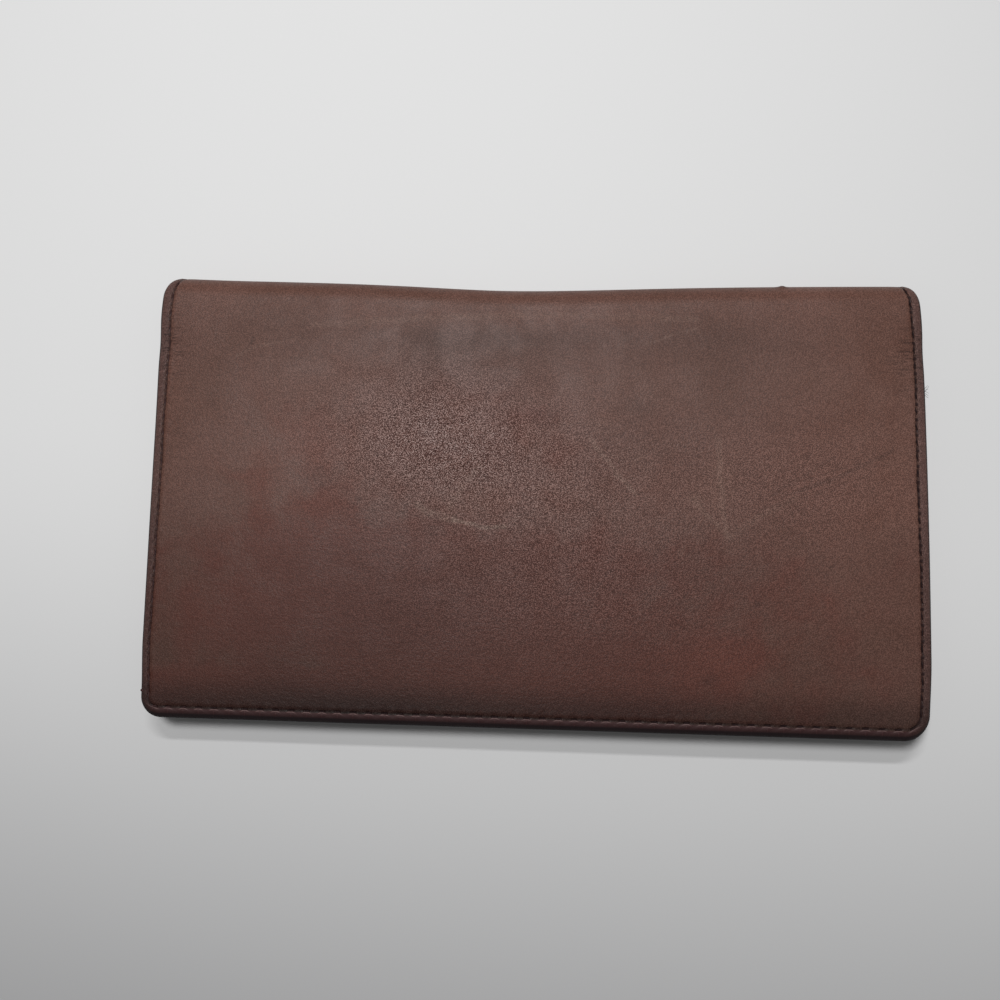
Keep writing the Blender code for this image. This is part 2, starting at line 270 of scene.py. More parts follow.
def rolled(x, along, height=0.0):
    """Points on the sheet that is rolled round the fold.

    x runs along the fold, along is measured on the leather's outside from the middle of the fold
    (positive on the front cover), and height is outwards from the leather's outside.
    """
    on_fold = np.clip(along, -HALF_ARC, HALF_ARC)
    angle = on_fold / FOLD_RADIUS
    past = np.abs(along) - np.abs(on_fold)
    reach = FOLD_RADIUS + height
    y = FOLD_AXIS_Y + reach * np.cos(angle) - past
    z = FOLD_RADIUS + reach * np.sin(angle)
    return np.stack(np.broadcast_arrays(x, y, z), axis=-1)


def plan_y(along):
    """The y of the leather's outside."""
    return rolled(0.0, along)[..., 1]


def path_place(y):
    """How far from the middle of the fold a flat half of the path reaches this y."""
    return HALF_ARC + FOLD_AXIS_Y - y


def on_front(along):
    """1 on the front cover, falling to 0 over the upper side of the fold."""
    return smooth(along, HALF_ARC * 0.5, HALF_ARC)


def side_line(along, side):
    """The x of the left (-1) or right (1) edge, with its slight bow and its rounding at the fold."""
    y = plan_y(along)
    edge = EDGES[side]
    reach_x, reach_y = edge.round_x * MM, edge.round_y * MM
    bow = edge.bow * MM * ((y - edge.bow_y * MM) / BOW_REACH) ** 2
    straight = HALF_WIDTH + edge.proud * MM + edge.lean * y - bow - steps_at(y, edge.drawn_in) * MM
    into = np.clip((y - FOLD_LINE_Y + reach_y) / reach_y, 0.0, 1.0)
    return side * (straight - reach_x * (1 - np.sqrt(1 - into * into)))


def from_sides(x, along):
    """The distance to the nearer of the left and right edges."""
    return np.minimum(x - side_line(along, -1), side_line(along, 1) - x)


def corner_inset(from_edge, radius):
    """How far a rounded corner draws the side in at this distance from the free edge."""
    into = np.clip(radius - from_edge, 0.0, radius)
    return radius - np.sqrt(radius * radius - into * into)


def margin_at(along, side, sizes):
    """The seam's distance from the left (-1) or right (1) edge, wider towards the fold and uneven."""
    y = plan_y(along)
    left = steps_at(y, ((0.35, -40.0, 10.0), (0.35, 15.0, 38.0)))
    right = 0.30 + 0.30 * bell(y, 8 * MM, 14 * MM) + steps_at(y, ((0.25, 30.0, 44.0),))
    uneven = 0.07 * np.sin(y / (2.9 * MM) + side) * np.sin(y / (7.7 * MM))
    return sizes.seam_margin + (np.where(np.asarray(side) < 0, left, right) + uneven) * MM


def corner_radius(side, sizes):
    """The radius of the left (-1) or right (1) corners at the free edge."""
    return np.where(np.asarray(side) < 0, sizes.left_corner, sizes.right_corner)


def edge_places(x, along, sizes):
    """Distance from the open edges, the seam's margin there, and the place along the seam in stitches."""
    side = np.where(x < 0, -1, 1)
    radius, bend = corner_radius(side, sizes), seam_bend(side, sizes)
    from_side = from_sides(x, along)
    from_free = PATH_END + sizes.free_reach - np.abs(along)
    across, down = radius - from_side, radius - from_free
    in_corner = (across > 0) & (down > 0)
    distance = np.where(in_corner, radius - np.hypot(across, down), np.minimum(from_side, from_free))
    turn = np.arctan2(np.maximum(across, 0.0), np.maximum(down, 1e-9))
    turn = np.where(in_corner, turn, np.where(from_free < from_side, 0.0, math.pi / 2))
    margin = sizes.free_margin + (margin_at(along, side, sizes) - sizes.free_margin) * np.sin(turn)
    corner_x = HALF_WIDTH - radius
    on_bottom = np.minimum(np.abs(x), corner_x)
    on_corner = corner_x + bend * turn
    on_side = corner_x + bend * math.pi / 2 + from_free - radius
    travel = np.where(in_corner, on_corner, np.where(from_free < from_side, on_bottom, on_side))
    return distance, margin, side * travel / even_pitch(side, sizes)


def seam_bend(side, sizes):
    """The radius of the seam in the free corners."""
    return corner_radius(side, sizes) - (sizes.seam_margin + sizes.free_margin) / 2


def seam_length(side, sizes):
    """From the middle of the free edge to the middle of the fold."""
    straight = HALF_WIDTH + PATH_END + sizes.free_reach - 2 * corner_radius(side, sizes)
    return straight + seam_bend(side, sizes) * math.pi / 2


def even_pitch(side, sizes):
    """The stitch pitch, adjusted so that the two halves' stitches meet evenly at the fold."""
    length = seam_length(side, sizes)
    return length / (np.round(length / sizes.stitch_pitch - 0.5) + 0.5)


def seam_place(travel, half, sizes):
    """The x and path place of a point on the edge seam, in the front (1) or back (-1) half."""
    side = -1 if travel < 0 else 1
    radius, bend = float(corner_radius(side, sizes)), float(seam_bend(side, sizes))
    end = PATH_END + sizes.free_reach
    past_corner = abs(travel) - HALF_WIDTH + radius
    if past_corner < 0:
        return travel, half * (end - sizes.free_margin)
    turn = past_corner / bend
    if turn < math.pi / 2:
        side_margin = float(margin_at(end - radius, side, sizes))
        margin = sizes.free_margin + (side_margin - sizes.free_margin) * math.sin(turn)
        along = half * (end - radius + (radius - margin) * math.cos(turn))
        from_side = radius - (radius - margin) * math.sin(turn)
        return float(side_line(along, side)) - side * from_side, along
    along = half * max(end - radius - past_corner + bend * math.pi / 2, 0.0)
    return float(side_line(along, side)) - side * float(margin_at(along, side, sizes)), along


def body_rise(x, along, sizes):
    """How far the stuffed body of the wallet lifts its front cover, or its rim pulls it down."""
    distance, _, _ = edge_places(x, along, sizes)
    y = plan_y(along)
    rise = sizes.crown * (1 - np.exp(-distance / sizes.crown_spread)) - sizes.rim_sink
    hollow = sizes.hollow * bell(y, 36.5 * MM, 4 * MM) * np.exp(-from_sides(x, along) / (7 * MM))
    ridge = sizes.ridge * bell(y, 43.0 * MM, 3.5 * MM) * bell(x, 2 * MM, 45 * MM)
    long_waves = np.sin(x / (17 * MM) + 1.3 + y / (29 * MM)) * np.sin(y / (13 * MM) + 0.4 - x / (41 * MM))
    short_waves = np.sin(x / (7.3 * MM) - y / (9.1 * MM) + 2.1)
    waves = sizes.waves * (long_waves + 0.5 * short_waves)
    return rise * smooth(along, 1 * MM, 20 * MM) + (ridge - hollow + waves) * smooth(along, 2 * MM, 12 * MM)


def fold_dip(x, along, sizes):
    """How far the fold is drawn in towards the free edge, most a little left of its middle."""
    deepest = -5 * MM
    width = np.where(x < deepest, 33 * MM, 46 * MM)
    dip = sizes.fold_dip / (1 + ((x - deepest) / width) ** 2) - 0.21 * sizes.fold_dip
    dip = dip - 0.35 * MM * bell(x, -HALF_WIDTH, 12 * MM)
    return dip * (1 - smooth(np.abs(along), 0.8 * HALF_ARC, HALF_ARC + 14 * MM))


def layer_points(x, along, height, carry, sizes):
    """Points of a layer. carry is its share of the cover's rise and sink."""
    points = rolled(x, along, height + carry * body_rise(x, along, sizes))
    points[..., 1] -= fold_dip(x, along, sizes)
    return points


def rim_drop(distance, width, depth):
    """An elliptic rounding: depth at the edge, and none from width inwards."""
    into = np.clip(1 - distance / width, 0.0, 1.0)
    return depth * (1 - np.sqrt(1 - into * into))


def seam_relief(distance, margin, phase, sizes):
    """The groove, pits and puckers that the edge seam leaves in the leather."""
    across = distance - margin
    bite = 0.5 + 0.5 * np.cos(2 * math.pi * phase)
    uneven = 1 + 0.3 * np.sin(phase / 1.4) * np.sin(phase / 6.2 + 1)
    groove = sizes.groove * bell(across, 0.0, 0.50 * MM) + sizes.pit * bell(across, 0.0, 0.40 * MM) * bite**2
    outer_puckers = bell(across, -0.65 * MM, 0.40 * MM) * (bite**1.5 - 0.3)
    inner_puckers = 0.35 * bell(across, 0.9 * MM, 0.6 * MM) * (0.6 - bite)
    slope = sizes.margin_roll * np.clip(-across / margin, 0.0, 1.0) ** 2
    return sizes.pucker * uneven * (outer_puckers + inner_puckers) - groove - slope


def fold_nick(x, along, widened=1.0):
    """1 on the small flap of leather that stands up on the fold, and 0 round it."""
    return bell(x, NICK_X, NICK_REACH_X * widened) * bell(along, NICK_ALONG, NICK_REACH_ALONG)


def cover_outside(x, along, sizes):
    """Points of the cover leather's outside. Nothing on the back stands proud of the table."""
    distance, margin, phase = edge_places(x, along, sizes)
    height = seam_relief(distance, margin, phase, sizes) + sizes.nick * fold_nick(x, along)
    height = height - smooth(-along, 0.0, HALF_ARC) * np.maximum(height, 0.0)
    height = height - rim_drop(distance, sizes.rim_rounding, 0.62 * LEATHER)
    return layer_points(x, along, height, 1.0, sizes)


def cover_inside(x, along, sizes):
    """Points of the cover leather's inside."""
    distance, _, _ = edge_places(x, along, sizes)
    height = -LEATHER + rim_drop(distance, 0.6 * MM, 0.3 * LEATHER)
    return layer_points(x, along, height, 1.0, sizes)


def mouth_and_floor(half, row):
    """The y of a card slot's mouth and of its floor. Row 1 is nearest the fold."""
    low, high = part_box(f"{HALVES[half].name}_card_slot_right_{row}")
    return high.y, low.y


def slot_lift(y, half, row):
    """How much the deeper slots raise a card slot at each y."""
    floors = [mouth_and_floor(half, deeper)[1] for deeper in range(1, row)]
    return 0.0 * y + sum(SLOT_PITCH * smooth(y, floor - CLIMB_START, floor - CLIMB_END) for floor in floors)


def inside_surface(x, along, sizes):
    """Points of the surface that shows inside the open wallet."""
    half = 1 if np.mean(along) > 0 else -1
    y = plan_y(along)
    depth = 0.0 * y + LINING_HIGH.z
    carry = 0.0 * y + LINING_CARRY
    steps = [(NOTE_HIGH.y, NOTE_HIGH.z, NOTE_CARRY)]
    for row in range(1, HALVES[half].slot_rows + 1):
        steps.append((mouth_and_floor(half, row)[0], SLOT_HIGH.z + slot_lift(y, half, row), SLOT_CARRY))
    for mouth, step_depth, step_carry in steps:
        below = (np.abs(along) > HALF_ARC) & (y < mouth)
        depth = np.where(below, step_depth, depth)
        carry = np.where(below, step_carry, carry)
    return layer_points(x, along, -depth, carry, sizes)


# Meshes


def fine_steps(reach, step):
    """Distances in from a rounded edge, close together at first."""
    near = np.array([0.0, 0.03, 0.09, 0.18, 0.3, 0.45, 0.65, 0.9, 1.2]) * MM
    count = int((reach - near[-1]) / step - TOUCHING)
    return np.concatenate([near, near[-1] + step * np.arange(1, count + 1)])


def spread(low, high, step):
    """Even values from low to high, about a step apart."""
    return np.linspace(low, high, max(int(round((high - low) / step)), 1) + 1)


def columns(left, right, edge, middle):
    """The x of each column in rows whose sides are at left and right."""
    left, right = np.atleast_1d(left)[:, None], np.atleast_1d(right)[:, None]
    inner_left, inner_right = left + edge[-1], right - edge[-1]
    return np.concatenate(
        [left + edge, inner_left + (inner_right - inner_left) * middle, right - edge[::-1]], axis=1
    )


def grid_normals(points):
    """The way that a surface faces at each point of its grid."""
    down = np.gradient(points, axis=0)
    across = np.gradient(points, axis=1)
    normals = np.cross(across, down)
    return normals / np.maximum(np.linalg.norm(normals, axis=2, keepdims=True), 1e-12)


def grid_faces(first, rows, across):
    """The numbers of a grid's points, counted from the first, and its four-sided faces."""
    index = first + np.arange(rows * across).reshape(rows, across)
    corners = [index[:-1, :-1], index[:-1, 1:], index[1:, 1:], index[1:, :-1]]
    return index, np.stack(corners, axis=-1).reshape(-1, 4).tolist()


def zip_rows(upper, lower, upper_x, lower_x):
    """Triangles between two rows of points that have different spacings."""
    faces, i, j = [], 0, 0
    while i < len(upper) - 1 or j < len(lower) - 1:
        take_upper = j == len(lower) - 1 or (i < len(upper) - 1 and upper_x[i + 1] <= lower_x[j + 1])
        if take_upper:
            faces.append([int(upper[i]), int(lower[j]), int(upper[i + 1])])
            i += 1
        else:
            faces.append([int(upper[i]), int(lower[j]), int(lower[j + 1])])
            j += 1
    return faces


def signed_volume(points, faces):
    """The volume inside a closed mesh, below 0 where its faces point inwards."""
    triangles = [corners[:3] for corners in faces]
    triangles += [[corners[0], corners[2], corners[3]] for corners in faces if len(corners) == 4]
    a, b, c = (points[np.array(triangles)[:, corner]] for corner in range(3))
    return float((a * np.cross(b, c)).sum() / 6)


def closed_mesh(name, points, faces, normals=None):
    """A smooth closed mesh, turned so that its faces point outwards."""
    if signed_volume(points, faces) < 0:
        faces = [corners[::-1] for corners in faces]
        normals = None if normals is None else -normals
    mesh = bpy.data.meshes.new(name)
    mesh.from_pydata(points.tolist(), [], faces)
    mesh.shade_smooth()
    if normals is not None:
        mesh.normals_split_custom_set_from_vertices(normals.tolist())
    return mesh


def flat_list(*grids):
    """The vectors of several grids, one after the other."""
    return np.concatenate([grid.reshape(-1, 3) for grid in grids])


def sheet_mesh(name, face_points, back_points, face_normals, back_normals):
    """A closed sheet between two grids of points that have the same rows, shaded by the grids' normals."""
    rows, wide, _ = face_points.shape
    face_index, faces = grid_faces(0, rows, wide)
    back_index, back_faces = grid_faces(rows * wide, rows, back_points.shape[1])
    faces += [corners[::-1] for corners in back_faces]
    for row in range(rows - 1):
        for column, order in ((0, 1), (-1, -1)):
            on_face, on_back = face_index[row : row + 2, column], back_index[row : row + 2, column]
            faces.append([*on_face.tolist(), *on_back[::-1].tolist()][::order])
    for row, order in ((0, 1), (-1, -1)):
        strip = zip_rows(
            face_index[row], back_index[row], face_points[row, :, 0], back_points[row, :, 0]
        )
        faces += [corners[::order] for corners in strip]
    return closed_mesh(
        name, flat_list(face_points, back_points), faces, flat_list(face_normals, -back_normals)
    )


def tube_mesh(name, path, radii, sides=8):
    """A closed round tube through points, with its own radius at each."""
    path = np.array(path, float)
    tangents = np.gradient(path, axis=0)
    tangents /= np.linalg.norm(tangents, axis=1, keepdims=True)
    first = np.cross(tangents, np.array([0.31, 0.52, 0.79]))
    first /= np.linalg.norm(first, axis=1, keepdims=True)
    second = np.cross(tangents, first)
    angles = np.arange(sides) * 2 * math.pi / sides
    rings = path[:, None] + np.array(radii)[:, None, None] * (
        np.cos(angles)[None, :, None] * first[:, None] + np.sin(angles)[None, :, None] * second[:, None]
    )
    points = np.concatenate([rings.reshape(-1, 3), path[:1], path[-1:]])
    faces = []
    for ring in range(len(path) - 1):
        for side in range(sides):
            a, b = ring * sides + side, ring * sides + (side + 1) % sides
            faces.append([a, b, b + sides, a + sides])
    last = (len(path) - 1) * sides
    for side in range(sides):
        faces.append([(side + 1) % sides, side, len(points) - 2])
        faces.append([last + side, last + (side + 1) % sides, len(points) - 1])
    return closed_mesh(name, points, faces)


def joined_mesh(name, meshes):
    """One mesh of several."""
    points, faces = [], []
    for mesh in meshes:
        first = len(points)
        points += [tuple(vertex.co) for vertex in mesh.vertices]
        faces += [[first + corner for corner in polygon.vertices] for polygon in mesh.polygons]
        bpy.data.meshes.remove(mesh)
    whole = bpy.data.meshes.new(name)
    whole.from_pydata(points, [], faces)
    whole.shade_smooth()
    return whole


def add_vectors(mesh, name, values):
    """A vector for each point of the mesh, which its material can read."""
    attribute = mesh.attributes.new(name, "FLOAT_VECTOR", "POINT")
    attribute.data.foreach_set("vector", np.asarray(values, np.float32).ravel())


def add_piece(name, mesh, finish, slot):
    """A piece of this mesh, with its own finish. The slot of the record that it belongs to is not used."""
    mesh.materials.clear()
    mesh.materials.append(finish)
    piece = bpy.data.objects.new(name, mesh)
    bpy.context.scene.collection.objects.link(piece)
    return piece


def zone_ends(zone):
    """The path places between which a zone lies."""
    low = -2 * PATH_END if zone.start_angle is None else math.radians(zone.start_angle) * FOLD_RADIUS
    high = 2 * PATH_END if zone.end_angle is None else math.radians(zone.end_angle) * FOLD_RADIUS
    return low, high


def zone_at(along):
    """The zone in which a path place lies."""
    return next(zone for zone in ZONES if along <= zone_ends(zone)[1] + 1e-9)


def bend_with_zone(piece, zone, depth, sizes):
    """Works out where a piece would bend between its zone's two bodies, but bends nothing: it only bakes the
    piece's place into its mesh. depth is how far it reaches below the outside.

    The fold's dip moves points along y alone, so the bend's ends are set by height for a zone on the fold and
    beyond the dip for a zone with a half.
    """
    reach = FOLD_RADIUS - depth
    past_dip, bend_length = 0.8 * sizes.fold_dip, 6 * MM
    low, high = (math.radians(angle or 0) for angle in (zone.start_angle, zone.end_angle))
    if zone.bands:
        start, end = ((0.0, FOLD_LINE_Y, FOLD_RADIUS + reach * math.sin(turn)) for turn in (low, high))
    else:
        turn = abs(low + high)
        half = -1 if zone.start_angle is None else 1
        away = np.array([0.0, -math.sin(turn), half * math.cos(turn)])
        border = [0.0, FOLD_AXIS_Y + reach * math.cos(turn), FOLD_RADIUS + half * reach * math.sin(turn)]
        near = np.array(border) + away * past_dip
        start, end = (near, near + bend_length * away)[::half]
    tuple(start)
    tuple(end)
    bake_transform(piece)


def path_rows(end, edge, step):
    """Rows along the whole path, as far as end on both halves."""
    arc = np.linspace(-HALF_ARC, HALF_ARC, ARC_STEPS + 1)
    flat = spread(HALF_ARC, end - edge[-1], step)[1:]
    near_edge = end - edge[::-1][1:]
    half = np.concatenate([flat, near_edge])
    return np.concatenate([-half[::-1], arc, half])


# Node trees


class Wire:
    """A socket of a node tree. Arithmetic on it adds Math nodes."""

    def __init__(self, net, socket):
        self.net = net
        self.socket = socket

    def math(self, operation, *others):
        return self.net.math(operation, self, *others)

    def __add__(self, other):
        return self.math("ADD", other)

    def __radd__(self, other):
        return self.net.math("ADD", other, self)

    def __sub__(self, other):
        return self.math("SUBTRACT", other)

    def __rsub__(self, other):
        return self.net.math("SUBTRACT", other, self)

    def __mul__(self, other):
        return self.math("MULTIPLY", other)

    def __rmul__(self, other):
        return self.net.math("MULTIPLY", other, self)

    def __truediv__(self, other):
        return self.math("DIVIDE", other)

    def __pow__(self, other):
        return self.math("POWER", other)

    def __abs__(self):
        return self.math("ABSOLUTE")


class Net:
    """A node tree that nodes are added to."""

    def __init__(self, tree):
        self.tree = tree

    def feed(self, socket, value):
        """Sets a socket, or links it to a wire or to each wire of a list."""
        if isinstance(value, (Wire, list)):
            for wire in [value] if isinstance(value, Wire) else value:
                self.tree.links.new(wire.socket, socket)
        else:
            socket.default_value = value

    def new(self, kind, settings=None, sockets=None):
        """A node with its settings, and the values or links of its sockets."""
        made = self.tree.nodes.new(kind)
        for name, value in (settings or {}).items():
            setattr(made, name, value)
        for name, value in (sockets or {}).items():
            self.feed(made.inputs[name], value)
        return made

    def node(self, kind, settings=None, sockets=None, output=0):
        """One output of a new node."""
        return Wire(self, self.new(kind, settings, sockets).outputs[output])

    def math(self, operation, *operands):
        return self.node("ShaderNodeMath", {"operation": operation}, dict(enumerate(operands)))

    def ramp(self, value, low, high, result_low=0.0, result_high=1.0):
        """A soft step of a value, from result_low at low to result_high at high."""
        sockets = {0: value, 1: low, 2: high, 3: result_low, 4: result_high}
        return self.node("ShaderNodeMapRange", {"interpolation_type": "SMOOTHSTEP"}, sockets)

    def near(self, distance, full, none):
        """1 up to the distance full, and 0 from the distance none on."""
        return self.ramp(distance, full, none, 1.0, 0.0)

    def mix(self, share, first, second):
        """A colour between two colours."""
        settings = {"data_type": "RGBA", "blend_type": "MIX"}
        return self.node("ShaderNodeMix", settings, {0: share, 6: rgba(first), 7: rgba(second)}, 2)

    def tint(self, colour, value):
        """A colour times a value."""
        vector = colour if isinstance(colour, Wire) else tuple(colour)[:3]
        return self.node("ShaderNodeVectorMath", {"operation": "SCALE"}, {0: vector, "Scale": value})


def rgba(colour):
    return colour if isinstance(colour, Wire) else (*tuple(colour)[:3], 1.0)


class Finish(Net):
    """A material, built round one Principled shader."""

    def __init__(self, name):
        self.material = bpy.data.materials.new(name)
        self.material.use_nodes = True
        super().__init__(self.material.node_tree)
        self.shader = self.tree.nodes["Principled BSDF"]
        self.place = self.node("ShaderNodeTexCoord", output="Object")

    def scaled(self, cell, turn=(0, 0, 0)):
        """Object coordinates in units of a cell's three sides, which are turned."""
        sockets = {"Vector": self.place, "Scale": cell, "Rotation": turn}
        return self.node("ShaderNodeMapping", {"vector_type": "TEXTURE"}, sockets)

    def axes(self, vector):
        """The x, y and z of a vector."""
        parts = self.new("ShaderNodeSeparateXYZ", sockets={0: vector})
        return [Wire(self, part) for part in parts.outputs]

    def noise(self, size, detail=3.0, roughness=0.55, distortion=0.0, stretch=(1, 1, 1), turn=(0, 0, 0)):
        """Noise whose cells are about this size, in metres."""
        sockets = {
            "Vector": self.scaled(tuple(size * part for part in stretch), turn),
            "Scale": 1.0,
            "Detail": detail,
            "Roughness": roughness,
            "Distortion": distortion,
        }
        return self.node("ShaderNodeTexNoise", {"noise_dimensions": "3D"}, sockets)

    def cells(self, size):
        """Rounded pebbles of about this size, in metres."""
        sockets = {"Vector": self.scaled((size,) * 3), "Scale": 1.0}
        return self.node("ShaderNodeTexVoronoi", {"feature": "SMOOTH_F1"}, sockets, "Distance")

    def read(self, name):
        """The parts of a vector that the mesh carries."""
        return self.axes(self.node("ShaderNodeAttribute", {"attribute_name": name}, output="Vector"))

    def bump(self, height, distance, strength, normal=None):
        """A normal that follows a height, on top of another normal where one is given."""
        sockets = {"Height": height, "Distance": distance, "Strength": strength}
        if normal:
            sockets["Normal"] = normal
        return self.node("ShaderNodeBump", sockets=sockets)

    def stroke(self, x, y, points, width):
        """1 on a line through (x, y) points, in millimetres, falling to 0 at width from it."""
        nearest = None
        for (from_x, from_y), (to_x, to_y) in zip(points, points[1:]):
            across_x, across_y = to_x - from_x, to_y - from_y
            square = across_x**2 + across_y**2
            share = ((x - from_x) * across_x + (y - from_y) * across_y) / square
            share = self.math("MINIMUM", self.math("MAXIMUM", share, 0.0), 1.0)
            off_x, off_y = x - (from_x + share * across_x), y - (from_y + share * across_y)
            distance = (off_x * off_x + off_y * off_y) ** 0.5
            nearest = distance if nearest is None else self.math("MINIMUM", nearest, distance)
        return self.near(nearest, 0.25 * width, width)

    def set(self, **sockets):
        """Feeds the shader's sockets, and returns the finished material."""
        for name, value in sockets.items():
            self.feed(self.shader.inputs[name.replace("_", " ")], value)
        return self.material


# Line marks on the front cover, in millimetres: how light or dark, how wide, and the points of each. The
# light ones are scratches, except the long line along the fold's ridge, a painted highlight; the dark ones
# are painted shade in creases.
LINE_MARKS = (
    (0.50, 1.50, ((-27.0, -2.6), (-23.5, -4.8), (-18.5, -5.8))),
    (0.80, 0.70, ((-18.5, -5.8), (-14.5, -7.0), (-10.5, -7.7), (-6.0, -7.2))),
    (0.22, 1.20, ((-19.7, -3.7), (-15.9, 2.9), (-12.1, 6.8))),
    (0.26, 1.10, ((43.9, 14.3), (44.6, 2.9), (45.8, -7.2))),
    (0.30, 1.00, ((38.8, -1.0), (43.0, -5.6), (46.5, -8.6))),
    (0.18, 1.40, ((46.5, -8.6), (54.1, -3.3), (61.7, 0.6))),
    (0.36, 0.90, ((13.9, 13.8), (17.0, 9.8), (20.7, 5.0), (24.5, 1.1))),
    (0.22, 0.60, ((26.7, 37.1), (33.0, 39.6), (38.6, 41.1))),
    (0.22, 0.60, ((-73.0, 33.1), (-67.5, 35.9), (-61.5, 36.8))),
    (0.20, 0.50, ((35.0, -12.1), (35.9, -11.2), (35.6, -13.1), (34.6, -13.3), (34.6, -12.0))),
    (0.20, 1.30, ((-54.0, 41.2), (-25.0, 43.2), (4.4, 44.3), (38.5, 43.5))),
    (-0.26, 0.75, ((62.9, 2.5), (71.9, 6.0), (84.7, 12.6))),
    (-0.18, 0.60, ((56.7, 1.7), (70.8, 10.5))),
    (-0.40, 0.45, ((-69.6, 36.2), (-69.1, 37.6))),
)
# Soft marks on the front cover, in millimetres: how strong, where, and how far each reaches both ways
LIGHT_MARKS = (
    (0.30, 13.0, 17.0, 5.0, 2.0),
    (0.32, 25.0, 9.7, 2.2, 1.6),
    (0.14, 44.0, 2.0, 4.0, 9.0),
    (0.10, -12.0, -4.0, 12.0, 5.0),
    (0.12, 0.0, 7.0, 2.5, 8.0),
    (0.30, 38.4, 0.0, 1.6, 1.2),
    (0.45, -6.4, -31.4, 1.0, 0.9),
    (0.45, -72.9, -40.5, 0.6, 0.55),
    (0.40, -70.0, -38.7, 0.6, 0.55),
    (0.10, -55.0, 11.0, 14.0, 6.0),
)
# Some dark marks are painted shade: the band along the fold just below its ridge, and the patch left of the
# middle that tones down the lamp's highlight there; the small ones are dark spots
DARK_MARKS = (
    (0.16, 1.5, 19.5, 5.0, 2.2),
    (0.14, 24.3, 21.9, 3.5, 2.0),
    (0.14, -51.1, 2.9, 3.5, 2.5),
    (0.14, -23.4, -7.9, 2.6, 1.8),
    (0.22, 42.1, -42.0, 2.0, 1.3),
    (0.50, 52.9, -24.2, 0.55, 0.5),
    (0.07, 62.0, -2.0, 14.0, 6.0),
    (0.15, -2.0, 38.7, 44.0, 3.0),
    (0.07, -8.0, 32.0, 20.0, 9.0),
    (0.07, 50.0, 37.0, 14.0, 9.0),
    (0.07, -87.0, 39.0, 7.0, 8.0),
    (0.06, -85.0, -4.0, 10.0, 16.0),
    (0.06, 88.0, -10.0, 7.0, 9.0),
    (0.05, -18.0, -27.0, 22.0, 10.0),
    (0.20, -22.0, 36.5, 10.0, 7.0),
    (0.08, 63.0, 36.0, 8.0, 6.0),
    (-0.14, -88.0, 21.0, 7.0, 8.0),
    (-0.08, 43.0, -39.0, 10.0, 6.0),
    (0.08, 84.0, -12.0, 7.0, 8.0),
    (0.08, 81.0, -48.0, 11.0, 4.0),
    (0.07, -59.0, -43.0, 8.0, 5.0),
)
RED_MARKS = (
    (0.50, 47.0, -36.0, 7.0, 4.5),
    (0.60, -18.0, -41.0, 9.0, 4.0),
    (0.50, 24.0, -37.0, 9.0, 3.5),
    (0.50, -38.0, -36.0, 8.0, 3.0),
    (0.55, -54.0, 11.0, 18.0, 11.0),
    (0.35, 4.0, 12.0, 16.0, 8.0),
    (0.45, 0.5, 20.0, 5.0, 2.5),
    (0.30, -48.0, -12.0, 26.0, 12.0),
    (0.30, -68.0, -30.0, 14.0, 9.0),
    (0.28, -20.0, -34.0, 22.0, 13.0),
    (0.25, -12.0, 22.0, 12.0, 7.0),
)

# Where the cover leather has bloom and painted sheen, where the lamp's highlight falls and its grain's glints
# are painted, where it is darker with painted shade, and the soft steps of painted shade along y
BLOOM_AND_SHEEN_MARKS = (
    (0.15, -26.0, 12.0, 38.0, 20.0),
    (0.08, -20.0, 29.0, 60.0, 9.0),
    (0.40, 60.0, 12.0, 30.0, 30.0),
)
# Where the lamp's highlight falls: the grain's glints are painted there, and its roughness varies more
GLINT_MARKS = (
    (1.00, -24.0, 13.0, 24.0, 16.0),
    (0.48, 8.0, 2.0, 26.0, 16.0),
    (0.33, 60.0, 4.0, 26.0, 14.0),
    (0.38, 8.0, -22.0, 45.0, 15.0),
    (-0.14, -75.0, -30.0, 30.0, 25.0),
)
SHADE_MARKS = (
    (0.08, 0.0, 37.0, 26.0, 8.0),
    (-0.11, 46.0, -37.0, 14.0, 9.0),
)
SHADE_STEPS = ((0.24, 2.0, -20.0), (0.12, -20.0, -44.0), (0.32, -42.0, -51.0), (-0.06, 42.0, 50.0))


